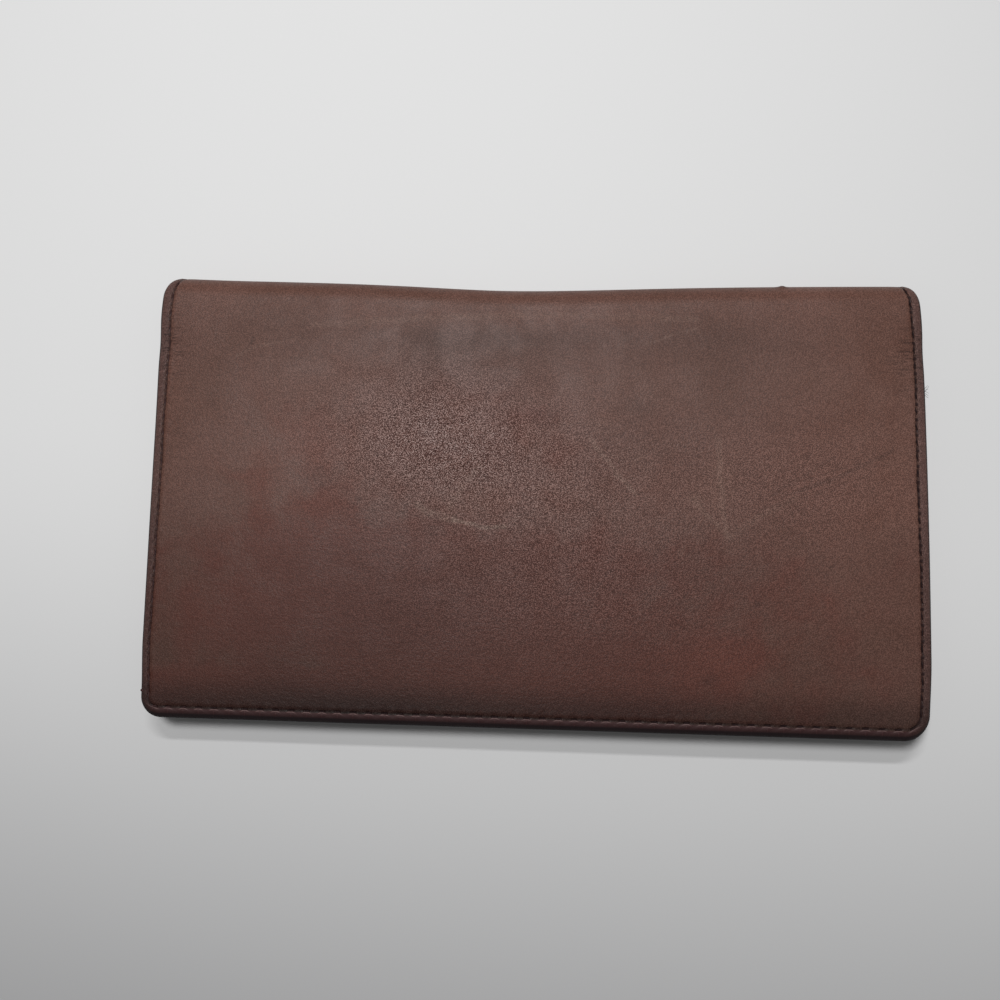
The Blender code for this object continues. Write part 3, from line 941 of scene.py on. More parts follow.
class CoverLeather(Finish):
    """Waxed pull-up leather: clouded brown, a greyish bloom with painted sheen, painted glints where the
    lamp's highlight falls, redder towards the free edge and darker there with painted shade.
    """

    def __init__(self, colours, sizes):
        super().__init__("waxed_leather")
        self.colours = colours
        self.patches = self.noise(0.009, 3, 0.55, 0.3)
        self.grain = self.noise(0.0011, 3, 0.65)
        self.speckle = self.noise(0.00021, 0, turn=(0.7, 0.5, 0.3))
        self.wander = self.noise(0.004, 2, 0.5)
        self.wrinkled, self.glinting, self.slanting = self.read("crease")
        self.shine = self.math("MAXIMUM", self.glinting, 0.0)
        self.phase, self.across, self.from_edge = self.read("seam")
        self.bite, self.on_free, self.front = self.read("bite")
        self.on_side = 1 - self.on_free
        self.outside = self.ramp(self.across, -0.25, -0.5)
        x, y, _ = self.axes(self.place)
        self.x = x / MM + (self.wander - 0.5) * 1.6
        self.y = y / MM + (self.wander - 0.5) * 1.2
        self.along = abs(self.phase - self.math("ROUND", self.phase)) * (sizes.stitch_pitch / MM)
        self.wavy = self.across + (self.noise(0.0013, 2, 0.5) - 0.5) * (0.55 - self.on_free * 0.25)

    def clouded(self, bloom_and_sheen, red):
        """The leather's colour, with its clouds, red places and bloom, the bloom partly painted sheen, and a
        redder base under the painted glints where the lamp's highlight falls.
        """
        clouds = self.noise(0.030, 4, 0.6, 0.4)
        colour = self.mix(self.ramp(clouds, 0.38, 0.62), self.colours.leather_dark, self.colours.leather)
        colour = self.mix(self.ramp(self.patches * 1.1 + red, 0.75, 1.35), colour, self.colours.leather_red)
        bloom_and_sheen_share = bloom_and_sheen * self.ramp(self.patches + clouds, 0.80, 1.20, 0.35, 1.0)
        colour = self.mix(bloom_and_sheen_share, colour, self.colours.bloom_and_sheen)
        return self.mix(self.shine * 0.80, colour, self.colours.leather_red)

    def marked_with_lines(self, colour, light):
        """The front cover's line marks: light scratches as scuffs, the line along the fold's ridge as a
        painted highlight, and dark creases as painted shade.
        """
        broken = self.ramp(self.grain, 0.35, 0.6, 0.35, 1.0) * self.front
        for strength, width, points in LINE_MARKS:
            stroke = self.stroke(self.x, self.y, points, width) * broken
            if strength > 0:
                colour = self.mix(stroke * strength, colour, self.colours.scuff_and_highlight)
            else:
                light = light * (1 + stroke * strength)
        return colour, light

    def wrinkles(self):
        """Fine wrinkles beside the seams and slanting ones on the right."""
        lines = self.noise(0.0005, 3, 0.6, 0.5, (9.0, 1.0, 1.0))
        slanting = self.noise(0.0007, 3, 0.6, 0.3, (9.0, 1.0, 1.0), (0, 0, math.radians(17)))
        beside_seams = self.ramp(lines, 0.48, 0.36) * self.wrinkled * 1.4
        return beside_seams + self.ramp(slanting, 0.48, 0.38) * self.slanting * 0.6

    def grained(self, light, fine):
        """The shade of the grain, with stronger painted glints where the lamp's highlight falls, and a little
        darker there to make up for the painted sparks.
        """
        strength = 0.32 + self.glinting * 0.68
        glints = self.math("EXPONENT", (fine - strength * 0.16) * strength)
        light = light * self.ramp(self.grain, 0.3, 0.7, 0.94, 1.06) * glints
        return light * (1 - self.shine * 0.08)

    def seam_marks(self):
        """The stitches' slits and holes, the lips that they raise, and the tucks outside the seam."""
        past_bite = self.along - self.bite
        off_line = abs(self.wavy) - self.on_side * 0.04
        hole = self.ramp(past_bite, -0.35, 0.1) * self.near(abs(self.wavy), 0.28, 0.55)
        slit = self.near(off_line, 0.15, 0.31) * self.near(past_bite, -0.25, 0.1)
        arch = self.wavy + 0.31 + self.along * self.along * 0.26
        lip = self.near(abs(arch), 0.08, 0.26) * self.near(past_bite, -0.2, 0.6)
        tuck = self.near(self.along, 0.03, 0.22) * self.ramp(self.across, -0.5, -0.8)
        return slit, hole, lip, tuck

    def seamed(self, colour, slit, hole, lip, tuck):
        """The strip outside the free edge's seam, the stitches' marks and the painted rim."""
        colours = self.colours
        # Painted shade: the strip outside the free edge's seam rolls away from the light, darkest at the edge
        strip = self.tint(colours.shaded_free_strip, self.ramp(self.from_edge, 0.7, 2.3, 0.55, 1.35))
        colour = self.mix(self.outside * self.on_free * 0.90, colour, strip)
        # Painted highlight: the lips raised beside the stitches catch the light, most along the free edge
        lit_lip_colour = self.tint(colours.margin, 1.6)
        colour = self.mix(lip * self.ramp(self.on_free, 0.0, 1.0, 0.04, 0.85), colour, lit_lip_colour)
        loose = self.ramp(self.wander, 0.40, 0.60, 0.30, 0.85)
        # Painted thread and painted shade: the slits and holes where the stitches sink in take the thread's
        # colour, the slits most along the free edge, where their pits lie in shade
        sewn = self.math("MAXIMUM", slit * (self.on_free + self.on_side * loose), hole * self.on_side)
        colour = self.mix(sewn * self.ramp(self.x, -92, -80, 0.6, 0.9), colour, colours.thread)
        colour = self.tint(colour, 1 + tuck * 0.35)
        # The rim takes the edge paint; along the free edge it reaches further in, as painted shade where the
        # rolled edge turns from the light
        rim = self.ramp(self.from_edge - self.on_free * 0.70, 0.60, 0.20)
        return self.mix(rim * 0.85, colour, colours.edge)

    def finished(self):
        """The whole finish, from the clouds to the painted rim."""
        bloom_and_sheen, red, dark = self.read("tone")
        light_wear, dark_wear_and_shade, _ = self.read("wear")
        colours = self.colours
        colour = self.clouded(bloom_and_sheen, red)
        colour = self.mix(light_wear * self.ramp(self.patches, 0.35, 0.6), colour, colours.scuff_and_highlight)
        colour = self.mix(self.outside * self.on_side * 0.55, colour, colours.margin)
        light = 1 - dark - dark_wear_and_shade * self.ramp(self.patches, 0.3, 0.6, 0.5, 1.0)
        colour, light = self.marked_with_lines(colour, light)
        wrinkles = self.wrinkles()
        fine = self.ramp(self.speckle, 0.34, 0.66, -1.0, 1.0)
        # Painted shade in the wrinkles beside the seams and in the slanting creases, which are bumped as well
        light = self.grained(light * (1 - wrinkles * 0.38), fine)
        # Painted shade in the groove that the seam lies in, deeper along the free edge
        light = light * self.ramp(abs(self.wavy), 0.08, 0.50, 0.70 - self.on_free * 0.15, 1.0)
        colour = self.tint(colour, light)
        # Painted highlight: pale sparks on the grain where the lamp's highlight falls
        sparks = self.ramp(self.speckle, 0.47, 0.75) * (0.04 + self.shine * (0.16 + self.shine * 0.36))
        colour = self.mix(sparks, colour, colours.spark)
        slit, hole, lip, tuck = self.seam_marks()
        colour = self.seamed(colour, slit, hole, lip, tuck)
        creases = self.noise(0.0016, 3, 0.6, 0.6, (2.2, 0.8, 1.0))
        normal = self.bump(creases - wrinkles, 0.00009, 0.5)
        normal = self.bump(self.cells(0.00062) + self.speckle, 0.00006, 0.6, normal)
        normal = self.bump(lip - slit + tuck * 0.3, 0.00014, 0.8, normal)
        roughness = self.ramp(self.patches, 0.3, 0.7, 0.47, 0.57) + self.outside * 0.12
        roughness = roughness + self.shine * 0.09 - fine * (0.01 + self.shine * 0.15)
        self.set(Specular_IOR_Level=0.25)
        return self.set(Base_Color=colour, Roughness=roughness, Normal=normal)


def cover_leather_finish(colours, sizes):
    return CoverLeather(colours, sizes).finished()


def pocket_leather_finish(colours, _):
    """Smooth darker leather of the note pockets and card slots, with a creased line along each mouth."""
    finish = Finish("smooth_leather")
    from_mouth, from_side, from_hem = finish.read("panel")
    clouds = finish.noise(0.022, 4, 0.6, 0.3)
    grain = finish.noise(0.0009, 3, 0.65)
    speckle = finish.noise(0.0004, 2, 0.7)
    light = finish.ramp(clouds, 0.3, 0.7, 0.90, 1.08) * finish.ramp(grain, 0.3, 0.7, 0.90, 1.10)
    # Painted shade in the creased line by each mouth; the panel is also darker at its mouth and along its
    # seams
    light = light * finish.ramp(abs(from_hem), 0.0, 0.28, 0.55, 1.0)
    light = light * finish.ramp(from_mouth, 0.0, 0.5, 0.6, 1.0) * finish.ramp(from_side, 0.0, 0.5, 0.6, 1.0)
    colour = finish.tint(colours.pocket, light)
    pebbles = finish.cells(0.0005)
    normal = finish.bump(pebbles + speckle * 0.5, 0.00004, 0.5)
    roughness = finish.ramp(clouds, 0.3, 0.7, 0.49, 0.55)
    return finish.set(Base_Color=colour, Roughness=roughness, Normal=normal)


def lining_finish(colours, _):
    """Fine twill cloth, woven on the slant."""
    finish = Finish("twill_cloth")
    x, along, _ = finish.read("cloth")
    twill = finish.math("SINE", (x + along) * (2 * math.pi / 0.42)) * 0.5 + 0.5
    picks = finish.math("SINE", (x - along) * (2 * math.pi / 0.30)) * 0.5 + 0.5
    slubs = finish.noise(0.0016, 3, 0.6, 0.0, (4.0, 0.6, 1.0))
    weave = twill * 0.7 + picks * 0.3
    light = finish.ramp(weave, 0.0, 1.0, 0.62, 1.22) * finish.ramp(slubs, 0.3, 0.7, 0.85, 1.15)
    colour = finish.tint(colours.lining, light)
    normal = finish.bump(weave + slubs * 0.4, 0.00006, 0.7)
    finish.set(Sheen_Weight=0.25, Sheen_Roughness=0.4)
    return finish.set(Base_Color=colour, Roughness=finish.ramp(weave, 0, 1, 0.9, 0.72), Normal=normal)


def thread_finish(colours, _):
    """Waxed twisted thread, lighter towards the left side."""
    finish = Finish("waxed_thread")
    x, _, _ = finish.axes(finish.place)
    fibres = finish.noise(0.00022, 2, 0.6)
    colour = finish.mix(finish.ramp(x, -0.070, -0.092), colours.thread, colours.lighter_left_thread)
    colour = finish.tint(colour, finish.ramp(fibres, 0.3, 0.7, 0.7, 1.5))
    normal = finish.bump(fibres, 0.00003, 0.5)
    finish.set(Specular_IOR_Level=0.25)
    return finish.set(Base_Color=colour, Roughness=finish.ramp(fibres, 0.3, 0.7, 0.6, 0.8), Normal=normal)


FINISHES = {
    "waxed_leather": cover_leather_finish,
    "smooth_leather": pocket_leather_finish,
    "twill_cloth": lining_finish,
    "waxed_thread": thread_finish,
}


def kept_finish(name):
    """The material of this name, built the first time that it is asked for."""
    sizes, colours, _ = scene_settings()
    return bpy.data.materials.get(name) or FINISHES[name](colours, sizes)


# Stitches


STITCH_INPUTS = {
    "Geometry": "Geometry",
    "Thread Width": "Float",
    "Sink": "Float",
    "Rise": "Float",
    "Turns": "Float",
    "Unevenness": "Float",
    "Seed": "Int",
    "Thread": "Material",
}


def twisted_stitch(net, given):
    """A stitch of two plies that wind round each other, one metre long along x."""
    width = given["Thread Width"]
    line = net.node("GeometryNodeCurvePrimitiveLine", {}, {"Start": (-0.5, 0, 0), "End": (0.5, 0, 0)})
    line = net.node("GeometryNodeResampleCurve", {}, {"Curve": line, "Count": 9})
    share = net.node("GeometryNodeSplineParameter")
    arch = 1 - (share * 2 - 1) ** 2
    radius = width * 0.30 * net.math("MAXIMUM", arch, 0.02) ** 0.3
    plies = []
    for ply in range(2):
        angle = share * given["Turns"] * (2 * math.pi) + ply * math.pi
        lift = arch * given["Rise"] - given["Sink"] + net.math("SINE", angle) * width * 0.22
        sideways = net.math("COSINE", angle) * width * 0.25
        offset = net.node("ShaderNodeCombineXYZ", {}, {1: sideways, 2: lift})
        bent = net.node("GeometryNodeSetPosition", {}, {"Geometry": line, "Offset": offset})
        shaped = net.node("GeometryNodeSetCurveRadius", {}, {"Curve": bent, "Radius": radius})
        ring = net.node("GeometryNodeCurvePrimitiveCircle", {}, {"Resolution": 5, "Radius": 1.0})
        sockets = {"Curve": shaped, "Profile Curve": ring, "Scale": radius, "Fill Caps": True}
        plies.append(net.node("GeometryNodeCurveToMesh", {}, sockets))
    return net.node("GeometryNodeJoinGeometry", {}, {"Geometry": plies})


def stitch_tree():
    """A geometry tree that lays a two-ply stitch on each point, along the point's own directions."""
    tree = bpy.data.node_groups.new("stitches", "GeometryNodeTree")
    for name, kind in STITCH_INPUTS.items():
        tree.interface.new_socket(name, in_out="INPUT", socket_type=f"NodeSocket{kind}")
    tree.interface.new_socket("Geometry", in_out="OUTPUT", socket_type="NodeSocketGeometry")
    net = Net(tree)
    given = {socket.name: Wire(net, socket) for socket in net.new("NodeGroupInput").outputs}
    stitch = twisted_stitch(net, given)
    vectors = {"data_type": "FLOAT_VECTOR"}
    along = net.node("GeometryNodeInputNamedAttribute", vectors, {"Name": "along"})
    up = net.node("GeometryNodeInputNamedAttribute", vectors, {"Name": "up"})
    length = net.node("GeometryNodeInputNamedAttribute", {"data_type": "FLOAT"}, {"Name": "length"})
    aim = net.node("FunctionNodeAlignRotationToVector", {"axis": "X"}, {"Vector": along})
    settings = {"axis": "Z", "pivot_axis": "X"}
    turn = net.node("FunctionNodeAlignRotationToVector", settings, {"Rotation": aim, "Vector": up})
    least, most = 1 - given["Unevenness"], 1 + given["Unevenness"]
    sockets = {2: least, 3: most, "Seed": given["Seed"]}
    uneven = net.node("FunctionNodeRandomValue", {"data_type": "FLOAT"}, sockets, 1)
    scale = net.node("ShaderNodeCombineXYZ", {}, {0: length * uneven, 1: uneven, 2: 1.0})
    sockets = {"Points": given["Geometry"], "Instance": stitch, "Rotation": turn, "Scale": scale}
    placed = net.node("GeometryNodeInstanceOnPoints", {}, sockets)
    real = net.node("GeometryNodeRealizeInstances", {}, {"Geometry": placed})
    soft = net.node("GeometryNodeSetShadeSmooth", {}, {"Geometry": real, "Shade Smooth": True})
    dressed = net.node("GeometryNodeSetMaterial", {}, {"Geometry": soft, "Material": given["Thread"]})
    net.new("NodeGroupOutput", {}, {"Geometry": dressed})
    return tree


def add_stitches(name, places, sizes, seed, slot):
    """One mesh of stitches. places holds the middle, direction, up direction and length of each."""
    middles, directions, ups, lengths = (np.array(part, float) for part in zip(*places))
    mesh = bpy.data.meshes.new(f"{name}_points")
    mesh.from_pydata(middles.tolist(), [], [])
    add_vectors(mesh, "along", directions)
    add_vectors(mesh, "up", ups)
    lengths_attribute = mesh.attributes.new("length", "FLOAT", "POINT")
    lengths_attribute.data.foreach_set("value", lengths.astype(np.float32))
    helper = bpy.data.objects.new(f"{name}_points", mesh)
    bpy.context.scene.collection.objects.link(helper)
    tree = bpy.data.node_groups.get("stitches") or stitch_tree()
    modifier = helper.modifiers.new("stitches", "NODES")
    modifier.node_group = tree
    values = {
        "Thread Width": sizes.thread_width,
        "Sink": sizes.stitch_sink,
        "Rise": sizes.stitch_rise,
        "Turns": sizes.stitch_turns,
        "Unevenness": sizes.unevenness,
        "Seed": seed,
        "Thread": kept_finish("waxed_thread"),
    }
    for socket in tree.interface.items_tree:
        if socket.in_out == "INPUT" and socket.name in values:
            modifier[socket.identifier] = values[socket.name]
    bpy.context.view_layer.update()
    graph = bpy.context.evaluated_depsgraph_get()
    sewn = bpy.data.meshes.new_from_object(helper.evaluated_get(graph))
    bpy.data.objects.remove(helper, do_unlink=True)
    for attribute_name in ("along", "up", "length"):
        if attribute_name in sewn.attributes:
            sewn.attributes.remove(sewn.attributes[attribute_name])
    return add_piece(name, sewn, values["Thread"], slot)


def surface_frame(surface, place, next_place, sizes, facing):
    """A point of a surface, the direction to the next place, and the way the surface faces there.

    facing is 1 for a surface that faces away from the fold's axis, and -1 for one that faces it.
    """
    x, along = place
    near = 0.2 * MM
    xs = np.array([x, x + near, x - near, x, x, next_place[0]])
    alongs = np.array([along, along, along, along + near, along - near, next_place[1]])
    middle, right, left, further, nearer, following = surface(xs, alongs, sizes)
    up = np.cross(right - left, further - nearer)
    turn = np.clip(along, -HALF_ARC, HALF_ARC) / FOLD_RADIUS
    outwards = np.array([0.0, math.cos(turn), math.sin(turn)])
    return middle, unit(following - middle), unit(up) * math.copysign(1, up @ outwards) * facing


def unit(vector):
    return vector / np.linalg.norm(vector)


def stitch_length(travel, sizes):
    """The length of thread seen, short along the free edge and long up the sides."""
    return sizes.edge_stitch + (sizes.side_stitch - sizes.edge_stitch) * up_side(travel)


def up_side(travel):
    """0 for stitches along the free edge and 1 for those up the sides."""
    return smooth(np.abs(travel), HALF_WIDTH - STITCH_CHANGE, HALF_WIDTH)


# Operators


def scene_settings():
    scene = bpy.context.scene
    return scene.wallet_sizes, scene.wallet_colours, scene.wallet_studio


def tone_sheen_and_shade_of(x, along):
    """How much bloom and painted sheen, red, and darkness the leather has at each place; the darkness is
    mostly painted shade, deeper towards the free edge where the light falls off.
    """
    y = plan_y(along)
    front = smooth(along, -2 * MM, 2 * MM)
    back = 1 - front
    mottled = 0.5 + 0.5 * np.sin(x / (23 * MM) + 2) * np.sin(y / (17 * MM) - along / (31 * MM))
    low_left = smooth(y, -40 * MM, -48 * MM) * (1 - smooth(x, 0.0, 50 * MM))
    # Wax bloom, and painted sheen round the lamp's highlight and along the fold.
    bloom_and_sheen = marks_at(x, y, BLOOM_AND_SHEEN_MARKS) + 0.35 * smooth(x, 60 * MM, 90 * MM)
    red = smooth(y, 10 * MM, -20 * MM) * (0.34 + 0.50 * bell(x, -12 * MM, 60 * MM))
    red = red + marks_at(x, y, RED_MARKS) + 0.55 * low_left
    # Painted shade: darker in soft steps towards the free edge, where the light falls off, and a little
    # lighter near the fold; the further terms darken or lighten broad patches and lighten the right side.
    dark = steps_at(y, SHADE_STEPS) + marks_at(x, y, SHADE_MARKS) - 0.06 * low_left
    dark = dark + 0.11 * bell(x, -42 * MM, 34 * MM) * smooth(y, 10 * MM, -10 * MM)
    dark = dark + 0.10 * smooth(y, -40 * MM, -50 * MM) * (1 - smooth(x, 10 * MM, 50 * MM))
    dark = dark - (0.15 + 0.10 * bell(y, -14 * MM, 22 * MM)) * smooth(x, 35 * MM, 88 * MM)
    bloom_and_sheen = front * bloom_and_sheen + back * 0.30 * mottled
    red = front * red + back * 0.5 * mottled
    return np.stack([np.clip(bloom_and_sheen, 0, 1), np.clip(red, 0, 1), front * dark + back * 0.12], axis=-1)


def wear_and_shade_of(x, along):
    """Soft light and dark marks of the front cover, a few of the dark ones painted shade along the fold, and
    the dark nick in the fold.
    """
    y, front = plan_y(along), on_front(along)
    light, dark = marks_at(x, y, LIGHT_MARKS), marks_at(x, y, DARK_MARKS)
    return np.stack([light * front, dark * front + 0.7 * fold_nick(x, along, 1.1), 0 * x], axis=-1)


def crease_of(x, along):
    """Where the front cover has wrinkles beside its seams, where the lamp's highlight falls and the grain's
    glints are painted, and where it has slanting creases.
    """
    y, front = plan_y(along), on_front(along)
    wrinkles = bell(y, 35 * MM, 8 * MM) * np.exp(-np.maximum(from_sides(x, along) - 4 * MM, 0) / (4 * MM))
    glint = np.clip(marks_at(x, y, GLINT_MARKS), -0.2, 1)
    slants = bell(x, 68 * MM, 12 * MM) * bell(y - 0.35 * (x - 68 * MM), 5 * MM, 5 * MM)
    return np.stack([wrinkles * front, glint * front, slants * front], axis=-1)


def leather_marks(x, along, sizes):
    """What the cover leather's finish reads at each place."""
    distance, margin, phase = edge_places(x, along, sizes)
    travel = phase * sizes.stitch_pitch
    bite = stitch_length(travel, sizes) / 2 / MM
    return {
        "seam": np.stack([phase, (distance - margin) / MM, distance / MM], axis=-1),
        "bite": np.stack([bite, 1 - up_side(travel), on_front(along)], axis=-1),
        "crease": crease_of(x, along),
        "tone": tone_sheen_and_shade_of(x, along),
        "wear": wear_and_shade_of(x, along),
    }


def add_zones(name, rows, faces, marks, finish, slot, nodes, depth, sizes):
    """A sheet in four zones, each of which stands for its solids.

    faces are the grids of points of the sheet's outer and inner face, and marks are the vectors that the
    finish reads on both. nodes names the solids of a cover and of the fold, and depth is the sheet's.
    """
    normals = [grid_normals(points) for points in faces]
    pieces = []
    for zone in ZONES:
        low, high = zone_ends(zone)
        chosen = (rows > low - TOUCHING) & (rows < high + TOUCHING)
        piece_name = f"{name}_{zone.name}"
        mesh = sheet_mesh(piece_name, *(grid[chosen] for grid in (*faces, *normals)))
        outer_marks, inner_marks = marks
        for mark in outer_marks:
            add_vectors(mesh, mark, flat_list(outer_marks[mark][chosen], inner_marks[mark][chosen]))
        piece = add_piece(piece_name, mesh, kept_finish(finish), slot)
        cover_node, fold_node = nodes
        solids = [f"spine_{fold_node}_{band}" for band in zone.bands] or [f"{zone.name}_{cover_node}"]
        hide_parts(*solids)
        bend_with_zone(piece, zone, depth, sizes)
        pieces.append(piece)
    return pieces


class WALLET_OT_cover_leather(bpy.types.Operator):
    """Build the sheet of cover leather in four zones, from the back cover round the fold to the front"""

    bl_idname = "wallet.cover_leather"
    bl_label = "Cover Leather"

    def execute(self, context):
        sizes, _, _ = scene_settings()
        edge = fine_steps(6.2 * MM, 0.32 * MM)
        end = PATH_END + sizes.free_reach
        rows = path_rows(end, edge, sizes.step)
        left = side_line(rows, -1) + corner_inset(end - np.abs(rows), sizes.left_corner)
        right = side_line(rows, 1) - corner_inset(end - np.abs(rows), sizes.right_corner)
        faces, marks = [], []
        for surface, steps, step in (
            (cover_outside, edge, sizes.step),
            (cover_inside, edge[::2], sizes.hidden_step),
        ):
            xs = columns(left, right, steps, spread(0.0, 1.0, step / (2 * HALF_WIDTH))[1:-1])
            alongs = rows[:, None] + 0 * xs
            faces.append(surface(xs, alongs, sizes))
            marks.append(leather_marks(xs, alongs, sizes))
        nodes = ("cover", "leather")
        finish, slot = "waxed_leather", "cover_leather"
        add_zones("cover_leather", rows, faces, marks, finish, slot, nodes, LEATHER, sizes)
        return {"FINISHED"}


class WALLET_OT_lining(bpy.types.Operator):
    """Lay the twill lining inside the cover leather, in the same four zones"""

    bl_idname = "wallet.lining"
    bl_label = "Lining"

    def execute(self, context):
        sizes, _, _ = scene_settings()
        edge = np.array([0.0, 0.1, 0.25, 0.5, 0.9, 1.6]) * MM
        end = PATH_END - LINING_INSET
        rows = path_rows(end, edge, sizes.inner_step)
        left, right = (
            side_line(rows, side)
            - side * (LINING_INSET + corner_inset(end - np.abs(rows), radius - LINING_INSET))
            for side, radius in ((-1, sizes.left_corner), (1, sizes.right_corner))
        )
        xs = columns(left, right, edge, spread(0.0, 1.0, sizes.inner_step / (2 * HALF_WIDTH))[1:-1])
        alongs = rows[:, None] + 0 * xs
        creases = 0.035 * MM * np.sin(xs / (5.3 * MM) + alongs / (8.7 * MM)) * np.sin(alongs / (4.1 * MM))
        faces = [
            layer_points(xs, alongs, -depth - creases, LINING_CARRY, sizes)
            for depth in (LINING_LOW.z, LINING_HIGH.z)
        ]
        marks = [{"cloth": np.stack([xs / MM, alongs / MM, 0 * xs], axis=-1)}] * 2
        nodes = ("lining", "lining")
        finish, slot = "twill_cloth", "lining_cloth"
        pieces = add_zones("lining", rows, faces, marks, finish, slot, nodes, LINING_HIGH.z, sizes)
        length = end - HALF_ARC + math.radians(90 - ZONES[-1].start_angle) * LINING_RADIUS
        return {"FINISHED"}


def panel_rows(half, mouth, floor, sizes):
    """The y of a panel's rows, close together at its mouth, at its floor and where it climbs."""
    near = np.array([0.0, 0.04, 0.1, 0.2, 0.35, 0.6, 1.0, 1.4, 1.7, 1.9, 2.1, 2.4, 3.0]) * MM
    rows = [mouth - near, floor + near, spread(floor, mouth, sizes.inner_step)]
    for row in range(1, HALVES[half].slot_rows):
        deeper_floor = mouth_and_floor(half, row)[1]
        if deeper_floor > floor + near[-1]:
            rows.append(np.linspace(deeper_floor - CLIMB_START, deeper_floor - CLIMB_END, 9))
    rows = np.unique(np.round(np.concatenate(rows), 6))[::-1]
    return rows[(rows <= mouth + TOUCHING) & (rows >= floor - TOUCHING)]


def panel_relief(from_mouth, from_edge, from_seam, sizes):
    """The turned mouth, its creased line, the groove of the seam and the rounded edges."""
    bead = sizes.bead * (1 - smooth(from_mouth, 1.5 * MM, sizes.hem))
    crease = 0.08 * MM * bell(from_mouth, sizes.hem, 0.2 * MM)
    groove = 0.10 * MM * bell(from_seam, 0.0, 0.45 * MM)
    rounding = rim_drop(from_mouth, 0.35 * MM, 0.22 * MM) + rim_drop(from_edge, 0.3 * MM, 0.2 * MM)
    return bead - crease - groove - rounding


def add_panel(name, half, mouth, floor, sides, depth, carry, sizes):
    """A pocket or card slot: a flat panel of thin leather with a turned, creased mouth.

    sides are the x of its left and right edge at each path place, and whether each is sewn into the edge
    seam. depth is the depth of its hidden and of its seen face, below the leather's outside, at each y.
    """
    rows = panel_rows(half, mouth, floor, sizes)
    along = half * path_place(rows)
    at_free_edge = floor < FREE_EDGE_Y + 2 * MM
    edges, seams = [], []
    for side, (line, sewn_in) in zip((-1, 1), sides):
        at_corner = at_free_edge and sewn_in
        radius = corner_radius(side, sizes) - POCKET_INSET if at_corner else 0.3 * MM
        inset = np.maximum(corner_inset(mouth - rows, 1.2 * MM), corner_inset(rows - floor, radius))
        edges.append(line(along) - side * inset)
        margin = margin_at(along, side, sizes) - POCKET_INSET if sewn_in else sizes.column_seam + 0 * along
        seams.append(margin[:, None])
    steps = np.array([0.0, 0.05, 0.14, 0.3, 0.6, 0.9, 1.1, 1.3, 1.6, 2.2, 3.2]) * MM
    middle = spread(0.0, 1.0, sizes.inner_step / float(np.mean(edges[1] - edges[0])))[1:-1]
    xs = columns(*edges, steps, middle)
    alongs, ys = along[:, None] + 0 * xs, rows[:, None] + 0 * xs
    from_left, from_right = xs - edges[0][:, None], edges[1][:, None] - xs
    from_mouth = mouth - ys
    from_seam = np.minimum(np.abs(from_left - seams[0]), np.abs(from_right - seams[1]))
    if at_free_edge:
        seam_y = floor + sizes.free_margin - sizes.free_reach - POCKET_INSET
        from_seam = np.minimum(from_seam, np.abs(ys - seam_y))
    waves = 0.03 * MM * np.sin(xs / (9.7 * MM) + 0.7 * half) * np.sin(ys / (6.1 * MM) + 0.4)
    relief = panel_relief(from_mouth, np.minimum(from_left, from_right), from_seam, sizes) + waves
    hidden, seen = depth(ys)
    seen_points = layer_points(xs, alongs, -(seen + relief), carry, sizes)
    rounding = rim_drop(from_mouth, 0.3 * MM, 0.12 * MM)
    thinned = np.append(np.arange(0, xs.shape[1] - 1, 2), xs.shape[1] - 1)
    hidden_points = layer_points(xs, alongs, -(hidden + waves + rounding), carry, sizes)[:, thinned]
    normals = grid_normals(seen_points), grid_normals(hidden_points)
    mesh = sheet_mesh(name, seen_points, hidden_points, *normals)
    panel = np.stack([from_mouth, from_seam, from_mouth - sizes.hem], axis=-1) / MM
    add_vectors(mesh, "panel", flat_list(panel, panel[:, thinned]))
    piece = add_piece(name, mesh, kept_finish("smooth_leather"), "pocket_leather")
    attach(piece, HALVES[half].body)
    return piece


def pocket_side(side):
    """The x of the side edge of the pockets at each path place."""
    return lambda along: side_line(along, side) - side * POCKET_INSET


class WALLET_OT_note_pockets(bpy.types.Operator):
    """Build the full-width note pocket of each half"""

    bl_idname = "wallet.note_pockets"
    bl_label = "Note Pockets"

    def execute(self, context):
        sizes, _, _ = scene_settings()
        sides = ((pocket_side(-1), True), (pocket_side(1), True))
        for half, (half_name, _, _) in HALVES.items():
            node = f"{half_name}_note_pocket"
            low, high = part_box(node)
            name = f"note_pocket_{half_name}"
            piece = add_panel(name, half, high.y, low.y, sides, self.depth, NOTE_CARRY, sizes)
            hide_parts(node)
        return {"FINISHED"}

    @staticmethod
    def depth(y):
        return NOTE_LOW.z + 0 * y, NOTE_HIGH.z + 0 * y


class WALLET_OT_card_slots(bpy.types.Operator):
    """Build the card slots of both halves, each draped over the slots below it"""

    bl_idname = "wallet.card_slots"
    bl_label = "Card Slots"

    def execute(self, context):
        sizes, _, _ = scene_settings()
        for half, (half_name, _, slot_rows) in HALVES.items():
            for side in (-1, 1):
                for row in range(1, slot_rows + 1):
                    self.add_slot(half, half_name, side, row, sizes)
        return {"FINISHED"}

    def add_slot(self, half, half_name, side, row, sizes):
        side_name = "left" if side < 0 else "right"
        mouth, floor = mouth_and_floor(half, row)
        outer, inner = (pocket_side(side), True), (lambda along: side * SLOT_LOW.x + 0 * along, False)

        def depth(y):
            lift = slot_lift(y, half, row)
            return SLOT_LOW.z + lift, SLOT_HIGH.z + lift

        sides = (outer, inner) if side < 0 else (inner, outer)
        name = f"card_slot_{half_name}_{side_name}_{row}"
        piece = add_panel(name, half, mouth, floor, sides, depth, SLOT_CARRY, sizes)
        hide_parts(f"{half_name}_card_slot_{side_name}_{row}")


